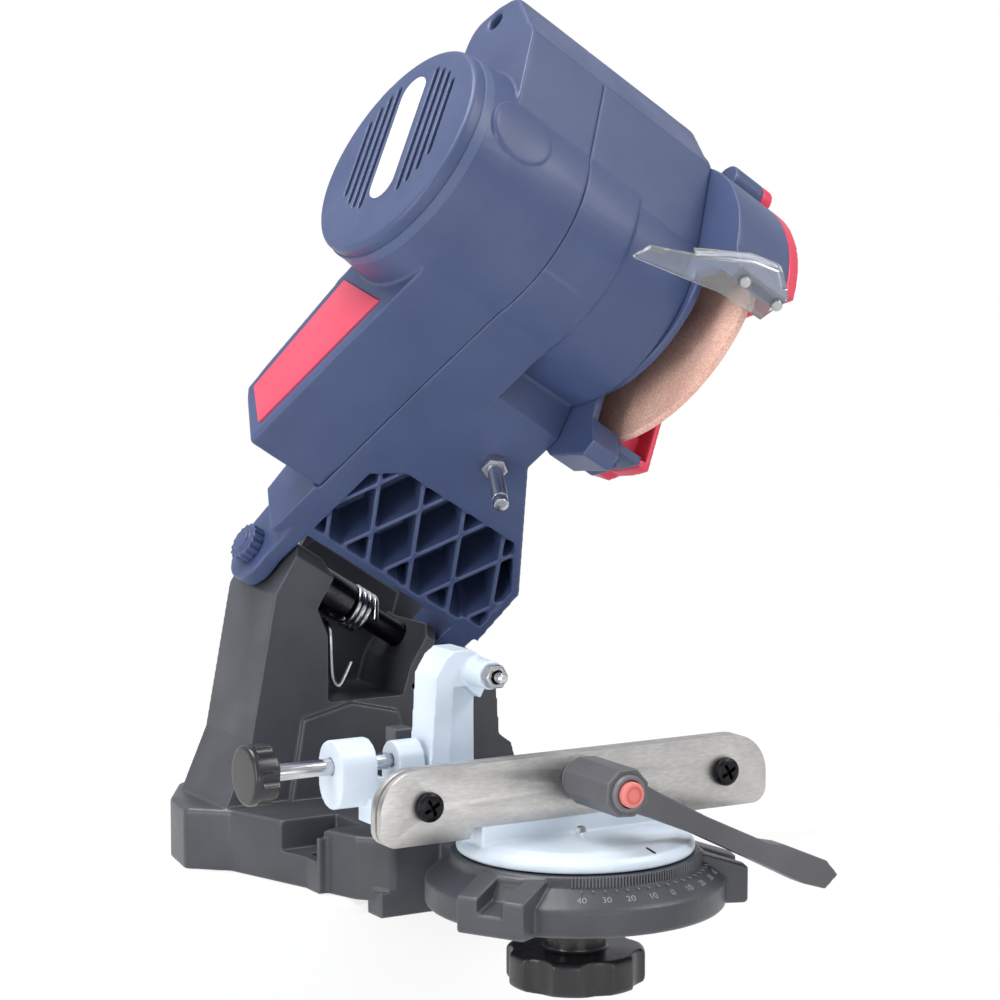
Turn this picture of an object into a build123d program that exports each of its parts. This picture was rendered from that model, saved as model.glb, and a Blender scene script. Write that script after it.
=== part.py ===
from build123d import *
import os
from math import cos, sin, radians

os.makedirs("parts", exist_ok=True)

# Electric chainsaw sharpener. Z is up, X runs along the chain, Y points away from the user.
# The origin is the middle of the four bench slots, level with the bench that the base stands on.

# ---------------------------------------------------------------- driving dimensions (mm, degrees)
# places
vise_y = -143.0             # swivel axis of the chain vise, in front of the bench slots
hinge_y = 165.0             # hinge axis behind the swivel axis
hinge_n = 78.5              # hinge axis above the bench, measured square to the sloping axis
head_tilt = 32.0            # slope of the hinge axis, which sets the cutting angle
head_raised = 52.2          # how far the head stands above level at rest

# clearances
running_gap = 0.06          # shaft in a bore
body_gap = 0.3              # between pieces that move past each other

# grinding wheel and motor, with p forward from the hinge, q up and w towards the motor
wheel_radius = 54.0
wheel_width = 3.2
wheel_p = 165.0
wheel_q = 29.3
wheel_w = 34.5
motor_p = 159.0
motor_q = 31.0
motor_radius = 46.0
gear_end_radius = 45.0
shell_wall = 3.0
shaft_radius = 4.0
gear_wall_w = 52.0
gear_step_w = 84.0
seam_w = 110.0
block_w = 145.0
lobe_w = 147.0
shoulder_w = 158.0
cap_face_w = 166.0
guard_space = 7.0           # from the wheel's edge to the guard's outside
guard_radius = wheel_radius + guard_space
guard_wall = 3.0
cover_w = 20.0

# hinge
hinge_radius = 5.0
ear_w = (99.0, 106.0)
inner_ear_w = (11.0, 23.0)
ear_slot_w = (9.0, 25.0)
ear_radius = 14.0

# neck
neck_bottom_q = -12.0
neck_top_q = 18.0
neck_rear_p = 24.0
neck_front_p = 112.0
rib_thickness = 1.8
depth_p = 94.0
depth_w = 64.0
depth_radius = 3.0

# chain vise
rail_half_length = 79.8
rail_top = 64.3
rail_bottom = 38.2
rail_notch_top = 42.0
rail_notch_half = 43.0
rail_thickness = 3.0
chain_gap = 1.5
rail_screw_x = 61.4
rail_screw_z = 51.3
rail_screw_radius = 2.5
disc_radius = 42.5
disc_bottom = 29.6
disc_top = 35.6
wall_depth = 9.0
stud_radius = 4.0

# clamp lever
lever_x = -1.0
lever_z = 55.5
lever_hub_radius = 8.3
lever_hub_rear = -8.0
lever_hub_front = -36.0
lever_angle = -25.6
clamp_radius = 3.0
button_radius = 4.6

# chain stop
rod_y = 34.0
rod_z = 60.6
rod_radius = 3.0
rod_tip_radius = 2.25
boss_x = (-80.0, -66.0)
boss_radius = 9.3
arm_x = (-44.5, -23.5)
arm_y = (26.0, 42.0)
arm_top = 99.0
pin_z = 91.3
pin_x = -26.2

# table and base
table_radius = 53.6
table_bottom = 10.0
table_rim_top = 20.4
tick_ring_radius = 44.6
tick_ring_top = 29.2
lug_radius = 60.0
foot_height = 24.0
foot_wall = 4.0
lip_depth = 5.5
tower_front = 143.0
tower_depth = 43.0
post_top_n = 86.5
post_left_w = (78.5, 97.7)
post_right_w = (-2.0, 30.0)
back_wall_n = 96.0
gap_floor = 62.0
slot_x = 46.0
slot_spacing_y = 80.0
slot_radius = 3.2
slot_length = 14.0
slot_pad_top = 12.0
knob_radius = 25.0
knob_top = -6.5
knob_bottom = -19.0

# ---------------------------------------------------------------- frames
slope = radians(head_tilt)
lift = radians(head_raised)
along = Vector(cos(slope), 0, -sin(slope))
square = Vector(sin(slope), 0, cos(slope))
back = Vector(0, 1, 0)
forward = back * -cos(lift) + square * sin(lift)
upward = back * sin(lift) + square * cos(lift)
hinge = back * (vise_y + hinge_y) + square * hinge_n


def level(z):
    """Horizontal plane at z with its origin on the swivel axis."""
    return Plane(origin=(0, vise_y, z), x_dir=(1, 0, 0), z_dir=(0, 0, 1))


def wall(y):
    """Upright plane at y behind the swivel axis: x to the right, y up, extruding towards the user."""
    return Plane(origin=(0, vise_y + y, 0), x_dir=(1, 0, 0), z_dir=(0, -1, 0))


def lengthwise(x):
    """Upright plane across X: x backwards from the swivel axis, y up, extruding to the right."""
    return Plane(origin=(x, vise_y, 0), x_dir=(0, 1, 0), z_dir=(1, 0, 0))


def radial(angle):
    """Upright plane through the swivel axis: x outwards at the angle, y up."""
    return Plane(origin=(0, vise_y, 0), x_dir=(cos(radians(angle)), sin(radians(angle)), 0),
                 z_dir=(sin(radians(angle)), -cos(radians(angle)), 0))


def side(w):
    """Plane across the hinge axis in the head: x forward, y up, extruding towards the motor."""
    return Plane(origin=hinge - along * w, x_dir=forward, z_dir=along * -1)


def under(q):
    """Plane of the head square to its up direction: x forward, y away from the motor (minus w)."""
    return Plane(origin=hinge + upward * q, x_dir=forward, z_dir=upward)


def across(w):
    """Plane across the hinge axis in the tower: x forward, y up along the posts."""
    return Plane(origin=hinge - along * w, x_dir=back * -1, z_dir=along * -1)


def on_front(u, n):
    """Point (x, z) of the tower's front, from its places along and square to the hinge axis."""
    return (u * cos(slope) + n * sin(slope), -u * sin(slope) + n * cos(slope))


def round_wheel(radius, angle):
    """Point (p, q) of the head, given round the wheel axis."""
    return (wheel_p + radius * cos(radians(angle)), wheel_q + radius * sin(radians(angle)))


def finish(piece, name):
    """Label a piece and write its STEP file."""
    piece.part.label = name
    export_step(piece.part, f"parts/{name}.step")
    print(f"{name}: {len(piece.solids())} solid(s), {piece.part.volume:.1f} mm3")


# ================================================================ BASE
swivel_axis = Axis((0, vise_y, 0), (0, 0, 1))
foot_half = [(39, 65), (49, 76), (70, 140), (84, 153), (80, 176), (66, 200)]
foot_outline = foot_half + [(-x, y) for x, y in reversed(foot_half)]
cavity_half = [(36, 80), (45, 80), (65, 142), (77, 155), (74, 174), (62, 195)]
cavity_outline = cavity_half + [(-x, y) for x, y in reversed(cavity_half)]
neck_half_width = 19.0
tower_outline = [
    (-72, foot_height - 2), (-60, 49), on_front(-post_left_w[1], 64),
    on_front(-post_left_w[1], post_top_n),
    on_front(-85, post_top_n), on_front(-post_left_w[0], 82), on_front(-post_left_w[0], 68),
    (-26, 88), (-26, gap_floor), (7, gap_floor), on_front(-post_right_w[1], 68),
    on_front(-post_right_w[1], post_top_n), on_front(-post_right_w[0], post_top_n),
    (50, 62), (51.5, 42), (57, 38), (62, foot_height - 2),
]
depth_post_x = -33.0
depth_post_y = 71.0
depth_post_top = 64.5
slot_front_y = -vise_y - slot_spacing_y / 2
slot_rear_y = -vise_y + slot_spacing_y / 2

with BuildPart() as base_shell:
    # foot
    with BuildSketch(level(0)):
        with BuildLine():
            Polyline(*foot_outline, close=True)
        make_face()
    extrude(amount=foot_height)
    fillet(base_shell.edges().filter_by(Axis.Z), radius=4)
    fillet(base_shell.edges().group_by(Axis.Z)[-1], radius=2)
    # hook lip for the edge of the bench
    with BuildSketch(level(-lip_depth)):
        with Locations((0, 70.5)):
            Rectangle(2 * 44, 11)
    extrude(amount=lip_depth + 4)
    # tower with its two posts
    with BuildSketch(wall(tower_front)):
        with BuildLine():
            Polyline(*tower_outline, close=True)
        make_face()
    extrude(amount=-tower_depth)
    # wall behind the gap
    with BuildSketch(wall(tower_front + tower_depth)):
        with BuildLine():
            Polyline((-29, gap_floor - 4), on_front(-post_left_w[0] - 2, 72),
                     on_front(-post_left_w[0] - 2, 84), on_front(-post_left_w[0] + 3, back_wall_n),
                     on_front(-post_right_w[1], back_wall_n), on_front(3 - post_right_w[1], 84),
                     on_front(3 - post_right_w[1], 60), (8, gap_floor - 4), close=True)
        make_face()
    extrude(amount=4)
    # step below the gap
    with BuildSketch(wall(tower_front)):
        with BuildLine():
            Polyline((-44, foot_height - 2), (-38, 56), (-17, 61), (4, 56), (14, foot_height - 2), close=True)
        make_face()
    extrude(amount=2.2)
    # neck to the table
    with BuildSketch(level(0)):
        with Locations((0, 60)):
            Rectangle(2 * neck_half_width, 30)
    extrude(amount=foot_height - 4)
    # round table with the raised tick ring
    with BuildSketch(radial(0)):
        with BuildLine():
            Polyline(
                (0, table_bottom), (table_radius - 1, table_bottom), (table_radius, table_bottom + 1),
                (table_radius, table_rim_top - 1.2), (table_radius - 1.2, table_rim_top),
                (tick_ring_radius + 0.6, 25.2), (tick_ring_radius, 25.6), (tick_ring_radius, tick_ring_top),
                (0, tick_ring_top), close=True)
        make_face()
    revolve(axis=swivel_axis)
    # grooved lugs at both ends of the scale
    for middle in (-150.5, -20.5):
        with BuildSketch(radial(middle)):
            with BuildLine():
                Polyline((43, table_bottom), (lug_radius - 1, table_bottom), (lug_radius, table_bottom + 1),
                         (lug_radius, 23), (44.6, 28), (43, 28), close=True)
            make_face()
        extrude(amount=13, both=True)
        with BuildSketch(radial(middle)):
            with BuildLine():
                Polyline((46, 30), (70, 30), (70, 15), (50, 20), (46, 25), close=True)
            make_face()
        extrude(amount=5, both=True, mode=Mode.SUBTRACT)
    # seat of the vise
    with BuildSketch(level(disc_bottom - body_gap)):
        Circle(disc_radius + 1.2)
    extrude(amount=20, mode=Mode.SUBTRACT)
    with BuildSketch(level(24)):
        Circle(38)
        Circle(12, mode=Mode.SUBTRACT)
    extrude(amount=8, mode=Mode.SUBTRACT)
    with BuildSketch(level(0)):
        Circle(stud_radius + running_gap)
    extrude(amount=40, mode=Mode.SUBTRACT)
    # chamfered front of the post tops
    with BuildSketch(across(-30)):
        with BuildLine():
            Polyline((23, 9), (23, 3), (22, 3), (17, 8), (17, 9), close=True)
        make_face()
    extrude(amount=140, mode=Mode.SUBTRACT)
    # slot in the right post for the head's inner ear
    with BuildSketch(across(ear_slot_w[0])):
        with BuildLine():
            Polyline((30, 40), (30, -18), (-18, -18), (-18, 40), close=True)
        make_face()
    extrude(amount=ear_slot_w[1] - ear_slot_w[0], mode=Mode.SUBTRACT)
    # bore for the hinge shaft
    with BuildSketch(across(-8)):
        Circle(hinge_radius)
    extrude(amount=120, mode=Mode.SUBTRACT)
    # hollow underside
    with BuildSketch(level(-lip_depth)):
        with BuildLine():
            Polyline(*cavity_outline, close=True)
        make_face()
    extrude(amount=lip_depth + foot_height - foot_wall, mode=Mode.SUBTRACT)
    for middle_x, width, top in ((-45, 22, 66), (33, 24, 46)):
        with BuildSketch(level(foot_height - foot_wall - 1)):
            with Locations((middle_x, tower_front + tower_depth / 2)):
                Rectangle(width, tower_depth - 2 * foot_wall)
        extrude(amount=top - foot_height, mode=Mode.SUBTRACT)
    # pads with the four bench slots, sunk and open to the side at the front
    for slot_y in (slot_front_y, slot_rear_y):
        for x in (-slot_x, slot_x):
            with BuildSketch(level(0)):
                with Locations((x, slot_y)):
                    Rectangle(22, 26)
            extrude(amount=foot_height - foot_wall + 1)
            if slot_y == slot_front_y:
                with BuildSketch(level(slot_pad_top)):
                    with Locations((x * 1.1, slot_y)):
                        Rectangle(26, 22)
                extrude(amount=foot_height, mode=Mode.SUBTRACT)
            with BuildSketch(level(-1)):
                with Locations((x, slot_y)):
                    SlotOverall(slot_length, 2 * slot_radius)
            extrude(amount=foot_height + 2, mode=Mode.SUBTRACT)
    # post that the depth screw comes down on
    with BuildSketch(level(foot_height - foot_wall - 1)):
        with Locations((depth_post_x, depth_post_y)):
            Rectangle(8, 8)
    extrude(amount=depth_post_top - foot_height + foot_wall + 1)
finish(base_shell, "base_shell")

# ---------------------------------------------------------------- hinge shaft, sleeve and spring
shaft_w = (-1.0, 105.6)
with BuildPart() as hinge_shaft:
    with BuildSketch(side(shaft_w[0])):
        Circle(hinge_radius)
    extrude(amount=shaft_w[1] - shaft_w[0])
    chamfer(hinge_shaft.edges().filter_by(GeomType.CIRCLE), length=0.6)
finish(hinge_shaft, "hinge_shaft")

sleeve_w = (58.5, post_left_w[0])
with BuildPart() as spring_sleeve:
    with BuildSketch(side(sleeve_w[0])):
        Circle(8.5)
        Circle(hinge_radius, mode=Mode.SUBTRACT)
    extrude(amount=sleeve_w[1] - sleeve_w[0])
finish(spring_sleeve, "spring_sleeve")

spring_wire = 1.3
spring_mean = hinge_radius + spring_wire + 0.2
spring_pitch = 3.3
spring_start_w = 46.0
with BuildPart() as return_spring:
    with BuildLine() as coil:
        Helix(pitch=spring_pitch, height=3 * spring_pitch, radius=spring_mean,
              center=hinge - along * spring_start_w, direction=along * -1)
    with BuildSketch(coil.line ^ 0):
        Circle(spring_wire)
    sweep(path=coil.line)
    # straight legs that bear on the base and on the head
    with BuildSketch(coil.line ^ 0):
        Circle(spring_wire)
    extrude(amount=-9)
    with BuildSketch(coil.line ^ 1):
        Circle(spring_wire)
    extrude(amount=6)
finish(return_spring, "return_spring")

# ================================================================ CHAIN VISE
rail_front_y = -(chain_gap / 2 + rail_thickness)
rail_rear_y = chain_gap / 2 + rail_thickness
wall_rear_y = rail_rear_y + wall_depth
plate_z = (40.0, 45.7)

with BuildPart() as vise_body:
    # swivel disc
    with BuildSketch(radial(0)):
        with BuildLine():
            Polyline((0, disc_bottom), (disc_radius - 0.6, disc_bottom), (disc_radius, disc_bottom + 0.6),
                     (disc_radius, 32.2), (disc_radius - 1.4, 34.2), (36, disc_top), (0, disc_top),
                     close=True)
        make_face()
    revolve(axis=swivel_axis)
    # seat of the rails
    with BuildSketch(level(disc_top - 1)):
        with Locations((0, (wall_rear_y + rail_front_y) / 2)):
            Rectangle(2 * (rail_notch_half - 3), wall_rear_y - rail_front_y)
    extrude(amount=rail_notch_top - disc_top + 1)
    # wall behind the rails
    with BuildSketch(wall(wall_rear_y)):
        with BuildLine():
            Polyline((-69, 44), (-69, 58), (-48, 58), (-40, 61), (40, 61), (48, 58), (69, 58),
                     (69, 44), (46, 40), (40, 36), (-40, 36), (-46, 40), close=True)
        make_face()
    extrude(amount=wall_depth)
    # bracket plate that carries the chain stop
    with BuildSketch(level(plate_z[0])):
        with BuildLine():
            Polyline((-68, 25), (-68, 36), (-57, 36), (-55, 44), (-22, 44), (-14, 30),
                     (-14, wall_rear_y - 1), (-66, wall_rear_y - 1), close=True)
        make_face()
    extrude(amount=plate_z[1] - plate_z[0])
    # web between the plate and the boss
    with BuildSketch(lengthwise(-68)):
        with BuildLine():
            Polyline((rod_y - 8, plate_z[0] + 1), (rod_y + 2, plate_z[0] + 1), (rod_y + 2, rod_z - 4),
                     (rod_y - 8, rod_z - 4), close=True)
        make_face()
    extrude(amount=5)
    # boss for the adjuster rod
    with BuildSketch(lengthwise(boss_x[0])):
        with Locations((rod_y, rod_z - 3)):
            Rectangle(2 * boss_radius, 6)
        with Locations((rod_y, rod_z), (rod_y, rod_z - 6)):
            Circle(boss_radius)
    extrude(amount=boss_x[1] - boss_x[0])
    with BuildSketch(lengthwise(boss_x[0] - 1)):
        with Locations((rod_y, rod_z)):
            Circle(rod_radius + running_gap)
    extrude(amount=boss_x[1] - boss_x[0] + 2, mode=Mode.SUBTRACT)
    # guide slot of the stop carriage
    with BuildSketch(level(plate_z[0] - 1)):
        with Locations((-39, 27)):
            Rectangle(30, 5)
    extrude(amount=plate_z[1] - plate_z[0] + 2, mode=Mode.SUBTRACT)
    # bores for the clamp stud, the rail screws and the swivel stud
    with BuildSketch(wall(wall_rear_y + 1)):
        with Locations((lever_x, lever_z)):
            Circle(clamp_radius + running_gap)
        with Locations((-rail_screw_x, rail_screw_z), (rail_screw_x, rail_screw_z)):
            Circle(rail_screw_radius)
    extrude(amount=wall_depth + 2, mode=Mode.SUBTRACT)
    with BuildSketch(wall(wall_rear_y)):
        with Locations((lever_x, lever_z)):
            RegularPolygon(radius=6, side_count=6)
    extrude(amount=4, mode=Mode.SUBTRACT)
    with BuildSketch(level(disc_bottom)):
        Circle(stud_radius)
    extrude(amount=8, mode=Mode.SUBTRACT)
finish(vise_body, "vise_body")

for name, rail_y in (("rail_front", -chain_gap / 2), ("rail_back", rail_rear_y)):
    with BuildPart() as rail:
        with BuildSketch(wall(rail_y)):
            with Locations((0, (rail_top + rail_bottom) / 2)):
                Rectangle(2 * rail_half_length, rail_top - rail_bottom)
            fillet(vertices().group_by(Axis.Y)[-1], radius=15)
            fillet(vertices().group_by(Axis.Y)[0], radius=6)
            with BuildLine():
                Polyline((-rail_notch_half - 3, rail_bottom - 1), (-rail_notch_half, rail_notch_top),
                         (rail_notch_half, rail_notch_top), (rail_notch_half + 3, rail_bottom - 1),
                         close=True)
            make_face(mode=Mode.SUBTRACT)
            with Locations((-rail_screw_x, rail_screw_z), (rail_screw_x, rail_screw_z)):
                Circle(rail_screw_radius, mode=Mode.SUBTRACT)
            with Locations((lever_x, lever_z)):
                Circle(clamp_radius + running_gap, mode=Mode.SUBTRACT)
        extrude(amount=rail_thickness)
    finish(rail, name)

with BuildPart() as rail_spacers:
    with BuildSketch(wall(chain_gap / 2)):
        with Locations((-rail_screw_x, rail_screw_z), (rail_screw_x, rail_screw_z)):
            Circle(6)
            Circle(rail_screw_radius, mode=Mode.SUBTRACT)
    extrude(amount=chain_gap)
finish(rail_spacers, "rail_spacers")

screw_head_radius = 5.2
with BuildPart() as rail_screws:
    for x in (-rail_screw_x, rail_screw_x):
        with BuildSketch(wall(wall_rear_y + 6)):
            with Locations((x, rail_screw_z)):
                Circle(rail_screw_radius)
        extrude(amount=wall_rear_y + 6 - rail_front_y)
        with BuildSketch(wall(rail_front_y)):
            with Locations((x, rail_screw_z)):
                Circle(screw_head_radius)
        extrude(amount=2.6, taper=18)
        # cross recess
        with BuildSketch(wall(rail_front_y - 1.2)):
            with Locations((x, rail_screw_z)):
                Rectangle(5.4, 1.1, rotation=20)
                Rectangle(1.1, 5.4, rotation=20)
        extrude(amount=3, mode=Mode.SUBTRACT)
finish(rail_screws, "rail_screws")

with BuildPart() as rail_nuts:
    with BuildSketch(wall(wall_rear_y + 4)):
        with Locations((-rail_screw_x, rail_screw_z), (rail_screw_x, rail_screw_z)):
            RegularPolygon(radius=4.6, side_count=6)
            Circle(rail_screw_radius, mode=Mode.SUBTRACT)
    extrude(amount=4)
finish(rail_nuts, "rail_nuts")

with BuildPart() as clamp_nut:
    with BuildSketch(wall(wall_rear_y)):
        with Locations((lever_x, lever_z)):
            RegularPolygon(radius=6, side_count=6)
            Circle(clamp_radius + running_gap, mode=Mode.SUBTRACT)
    extrude(amount=4)
finish(clamp_nut, "clamp_nut")

with BuildPart() as swivel_stud:
    with BuildSketch(level(-15)):
        Circle(stud_radius)
    extrude(amount=15 + disc_bottom + 8)
    chamfer(swivel_stud.edges().group_by(Axis.Z)[0], length=0.8)
finish(swivel_stud, "swivel_stud")

# ---------------------------------------------------------------- lock knob below the table
washer_z = (table_bottom - body_gap - 1.5, table_bottom - body_gap)
with BuildPart() as lock_knob:
    with BuildSketch(level(knob_bottom)):
        Circle(knob_radius)
    extrude(amount=knob_top - knob_bottom)
    fillet(lock_knob.edges().filter_by(GeomType.CIRCLE), radius=2)
    with BuildSketch(level(knob_bottom - 1)):
        with PolarLocations(knob_radius + 9, 7):
            Circle(11.6)
    extrude(amount=knob_top - knob_bottom + 2, mode=Mode.SUBTRACT)
    with BuildSketch(level(knob_top)):
        Circle(11)
    extrude(amount=washer_z[0] - knob_top)
    with BuildSketch(level(knob_bottom + 3)):
        Circle(6.5)
    extrude(amount=40, mode=Mode.SUBTRACT)
finish(lock_knob, "lock_knob")

with BuildPart() as knob_insert:
    with BuildSketch(level(knob_bottom + 3)):
        Circle(6.5)
        Circle(stud_radius + running_gap, mode=Mode.SUBTRACT)
    extrude(amount=washer_z[0] - knob_bottom - 3)
finish(knob_insert, "knob_insert")

with BuildPart() as knob_washer:
    with BuildSketch(level(washer_z[0])):
        Circle(14)
        Circle(stud_radius + running_gap, mode=Mode.SUBTRACT)
    extrude(amount=washer_z[1] - washer_z[0])
finish(knob_washer, "knob_washer")

# ---------------------------------------------------------------- clamp lever
lever_slope = radians(lever_angle)


def on_lever(distance, height):
    """Front view point of the lever, along its arm and square to it."""
    return (lever_x + distance * cos(lever_slope) - height * sin(lever_slope),
            lever_z + distance * sin(lever_slope) + height * cos(lever_slope))


with BuildPart() as lever_handle:
    # faceted hub
    with BuildSketch(wall(lever_hub_rear)):
        with Locations((lever_x, lever_z)):
            RegularPolygon(radius=lever_hub_radius, side_count=8, major_radius=False, rotation=lever_angle)
    extrude(amount=lever_hub_rear - lever_hub_front)
    # arm that widens to its end
    with BuildSketch(wall(lever_hub_front + 10)):
        with BuildLine():
            Polyline(on_lever(0, 6), on_lever(13, 4.8), on_lever(36, 3.8), on_lever(64, 4.0),
                     on_lever(72, 5.8), on_lever(92, 6.6), on_lever(99, 3.6), on_lever(96, -3),
                     on_lever(86, -4.4), on_lever(60, -3.8), on_lever(36, -3.5), on_lever(14, -4.6),
                     on_lever(0, -6), close=True)
        make_face()
    extrude(amount=9)
    # bore for the stud and the button
    with BuildSketch(wall(lever_hub_rear + 1)):
        with Locations((lever_x, lever_z)):
            Circle(clamp_radius)
    extrude(amount=20, mode=Mode.SUBTRACT)
    with BuildSketch(wall(lever_hub_front + 7)):
        with Locations((lever_x, lever_z)):
            Circle(button_radius + running_gap)
    extrude(amount=20, mode=Mode.SUBTRACT)
finish(lever_handle, "lever_handle")

with BuildPart() as lever_collar:
    with BuildSketch(wall(rail_front_y - 0.1)):
        with Locations((lever_x, lever_z)):
            Circle(7)
            Circle(clamp_radius, mode=Mode.SUBTRACT)
    extrude(amount=rail_front_y - 0.1 - lever_hub_rear)
finish(lever_collar, "lever_collar")

with BuildPart() as clamp_stud:
    with BuildSketch(wall(wall_rear_y + 2)):
        with Locations((lever_x, lever_z)):
            Circle(clamp_radius)
    extrude(amount=wall_rear_y + 2 - lever_hub_rear + 19)
finish(clamp_stud, "clamp_stud")

with BuildPart() as release_button:
    with BuildSketch(wall(lever_hub_front + 4)):
        with Locations((lever_x, lever_z)):
            Circle(button_radius)
    extrude(amount=8)
    fillet(release_button.edges().group_by(Axis.Y)[0], radius=0.8)
finish(release_button, "release_button")

# ---------------------------------------------------------------- chain stop
carriage_y = (24.9, 41.5)
saddle_z = (plate_z[1] + 0.1, 50.7)
with BuildPart() as stop_slider:
    with BuildSketch(level(saddle_z[0])):
        with Locations((-39.25, (carriage_y[0] + carriage_y[1]) / 2)):
            Rectangle(33.5, carriage_y[1] - carriage_y[0])
    extrude(amount=saddle_z[1] - saddle_z[0])
    # ear that carries the rod
    with BuildSketch(lengthwise(-56)):
        with Locations((rod_y, rod_z)):
            Circle(7)
        with BuildLine():
            Polyline((rod_y - 7, rod_z), (rod_y + 7, rod_z), (rod_y + 7, saddle_z[1] - 1),
                     (rod_y - 7, saddle_z[1] - 1), close=True)
        make_face()
    extrude(amount=10)
    with BuildSketch(lengthwise(-57)):
        with Locations((rod_y, rod_z)):
            Circle(rod_tip_radius + running_gap)
    extrude(amount=12, mode=Mode.SUBTRACT)
    # key in the guide slot
    with BuildSketch(level(plate_z[0] + 1)):
        with Locations((-41.5, 27)):
            Rectangle(14, 4.6)
    extrude(amount=saddle_z[0] - plate_z[0] - 0.5)
finish(stop_slider, "stop_slider")

knob_x = (-113.5, -103.5)
with BuildPart() as adjuster_rod:
    with BuildSketch(lengthwise(knob_x[0] + 3)):
        with Locations((rod_y, rod_z)):
            Circle(rod_radius)
    extrude(amount=-57.5 - knob_x[0] - 3)
    with BuildSketch(lengthwise(-57.5)):
        with Locations((rod_y, rod_z)):
            Circle(rod_tip_radius)
    extrude(amount=33)
finish(adjuster_rod, "adjuster_rod")

with BuildPart() as adjuster_knob:
    with BuildSketch(lengthwise(knob_x[0])):
        with Locations((rod_y, rod_z)):
            Circle(10.7)
    extrude(amount=knob_x[1] - knob_x[0])
    fillet(adjuster_knob.edges().filter_by(GeomType.CIRCLE), radius=1.5)
    with BuildSketch(lengthwise(knob_x[0] + 3)):
        with Locations((rod_y, rod_z)):
            with PolarLocations(12.4, 6):
                Circle(3.6)
    extrude(amount=20, mode=Mode.SUBTRACT)
    with BuildSketch(lengthwise(knob_x[0] + 3)):
        with Locations((rod_y, rod_z)):
            Circle(rod_radius)
    extrude(amount=20, mode=Mode.SUBTRACT)
finish(adjuster_knob, "adjuster_knob")

arm_foot = 53.5
with BuildPart() as stop_arm:
    with BuildSketch(wall(arm_y[1])):
        with BuildLine():
            Polyline((arm_x[0], arm_foot), (-42.1, 90), (-38, 96.5), (-34.5, arm_top), (-27.5, arm_top),
                     (-21.5, 95), (-20.5, 90), (-22, 84.5), (-24, 81), (arm_x[1], arm_foot), close=True)
        make_face()
    extrude(amount=arm_y[1] - arm_y[0])
    # recessed face beside the proud left flange
    with BuildSketch(wall(arm_y[0] + 5)):
        with BuildLine():
            Polyline((-37, 52), (-34.5, 86), (-29.5, 86), (-22.5, 80), (-19.5, 52), close=True)
        make_face()
    extrude(amount=6, mode=Mode.SUBTRACT)
    # hollow back
    with BuildSketch(wall(arm_y[1])):
        with BuildLine():
            Polyline((-40.5, 68), (-38.5, 90), (-33.5, 94), (-30.5, 94), (-27.5, 68), close=True)
        make_face()
    extrude(amount=8, mode=Mode.SUBTRACT)
    # boss of the stop pin
    with BuildSketch(wall(arm_y[0])):
        with Locations((pin_x, pin_z)):
            Circle(5.2)
    extrude(amount=12)
    with BuildSketch(wall(arm_y[1] + 1)):
        with Locations((pin_x, pin_z)):
            Circle(2.5)
    extrude(amount=40, mode=Mode.SUBTRACT)
    # pivot bore and foot slots
    with BuildSketch(lengthwise(arm_x[0] - 2)):
        with Locations((rod_y, rod_z)):
            Circle(rod_tip_radius + running_gap)
    extrude(amount=30, mode=Mode.SUBTRACT)
    with BuildSketch(lengthwise(arm_x[0] - 2)):
        with BuildLine():
            Polyline((arm_y[0] - 1, 56.5), (arm_y[0] + 2.5, arm_foot - 1), (arm_y[0] - 1, arm_foot - 1),
                     close=True)
        make_face()
        with BuildLine():
            Polyline((arm_y[1] + 1, 58), (arm_y[1] - 3, arm_foot - 1), (arm_y[1] + 1, arm_foot - 1),
                     close=True)
        make_face()
    extrude(amount=30, mode=Mode.SUBTRACT)
finish(stop_arm, "stop_arm")

pin_y = (5.0, 46.0)
with BuildPart() as stop_pin:
    with BuildSketch(wall(pin_y[1])):
        with Locations((pin_x, pin_z)):
            Circle(2.5)
    extrude(amount=pin_y[1] - pin_y[0])
    chamfer(stop_pin.edges().group_by(Axis.Y)[0], length=0.6)
finish(stop_pin, "stop_pin")

with BuildPart() as stop_nut:
    for start, height in ((arm_y[0] - 12, 4.0), (arm_y[1] + 3, 3.0)):
        with BuildSketch(wall(start)):
            with Locations((pin_x, pin_z)):
                RegularPolygon(radius=4.6, side_count=6)
                Circle(2.5, mode=Mode.SUBTRACT)
        extrude(amount=height)
finish(stop_nut, "stop_nut")

# ================================================================ HEAD
vent_slope = 58.2           # direction of the label and of the vent slots on the cap
label_p = 161.5
label_q = 36.0
guard_open = (-32.5, 238.0)  # the guard covers the wheel between these angles, over the top
pillar_places = ((119.2, 34.5), (203.0, 89.0), (180.8, -1.3))
screw_core = 1.9

lobe_points = [(178, 50), (183, 88), (192, 99), (206, 96), (217, 90), (219.5, 58), (203, 20), (178, 20)]
lobe_corner = 10.0
flank_points = [(100, neck_bottom_q), (152, -13.5), (150, 31), (100, 33)]
gear_flank_points = [(100, neck_bottom_q), (118, neck_bottom_q), (128, -2), (135, 31), (100, 33)]
block_points = [(106.5, 33), (45.5, 23.5), (44.5, 15.5), (44.5, neck_bottom_q), (112, neck_bottom_q),
                (112, 33)]


def housing(round_radius, *outlines, inset=0.0):
    """Section of a housing: the round of the motor and the lobe joined to other outlines, all set in."""
    with BuildSketch() as section:
        with Locations((motor_p, motor_q)):
            Circle(round_radius - inset)
        with BuildSketch(mode=Mode.ADD):
            add(lobe_outline)
            if inset:
                offset(amount=-inset, kind=Kind.INTERSECTION)
        for outline in outlines:
            with BuildSketch(mode=Mode.ADD):
                with BuildLine():
                    Polyline(*outline, close=True)
                make_face()
                if inset:
                    offset(amount=-inset, kind=Kind.INTERSECTION)
    return section.sketch


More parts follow.
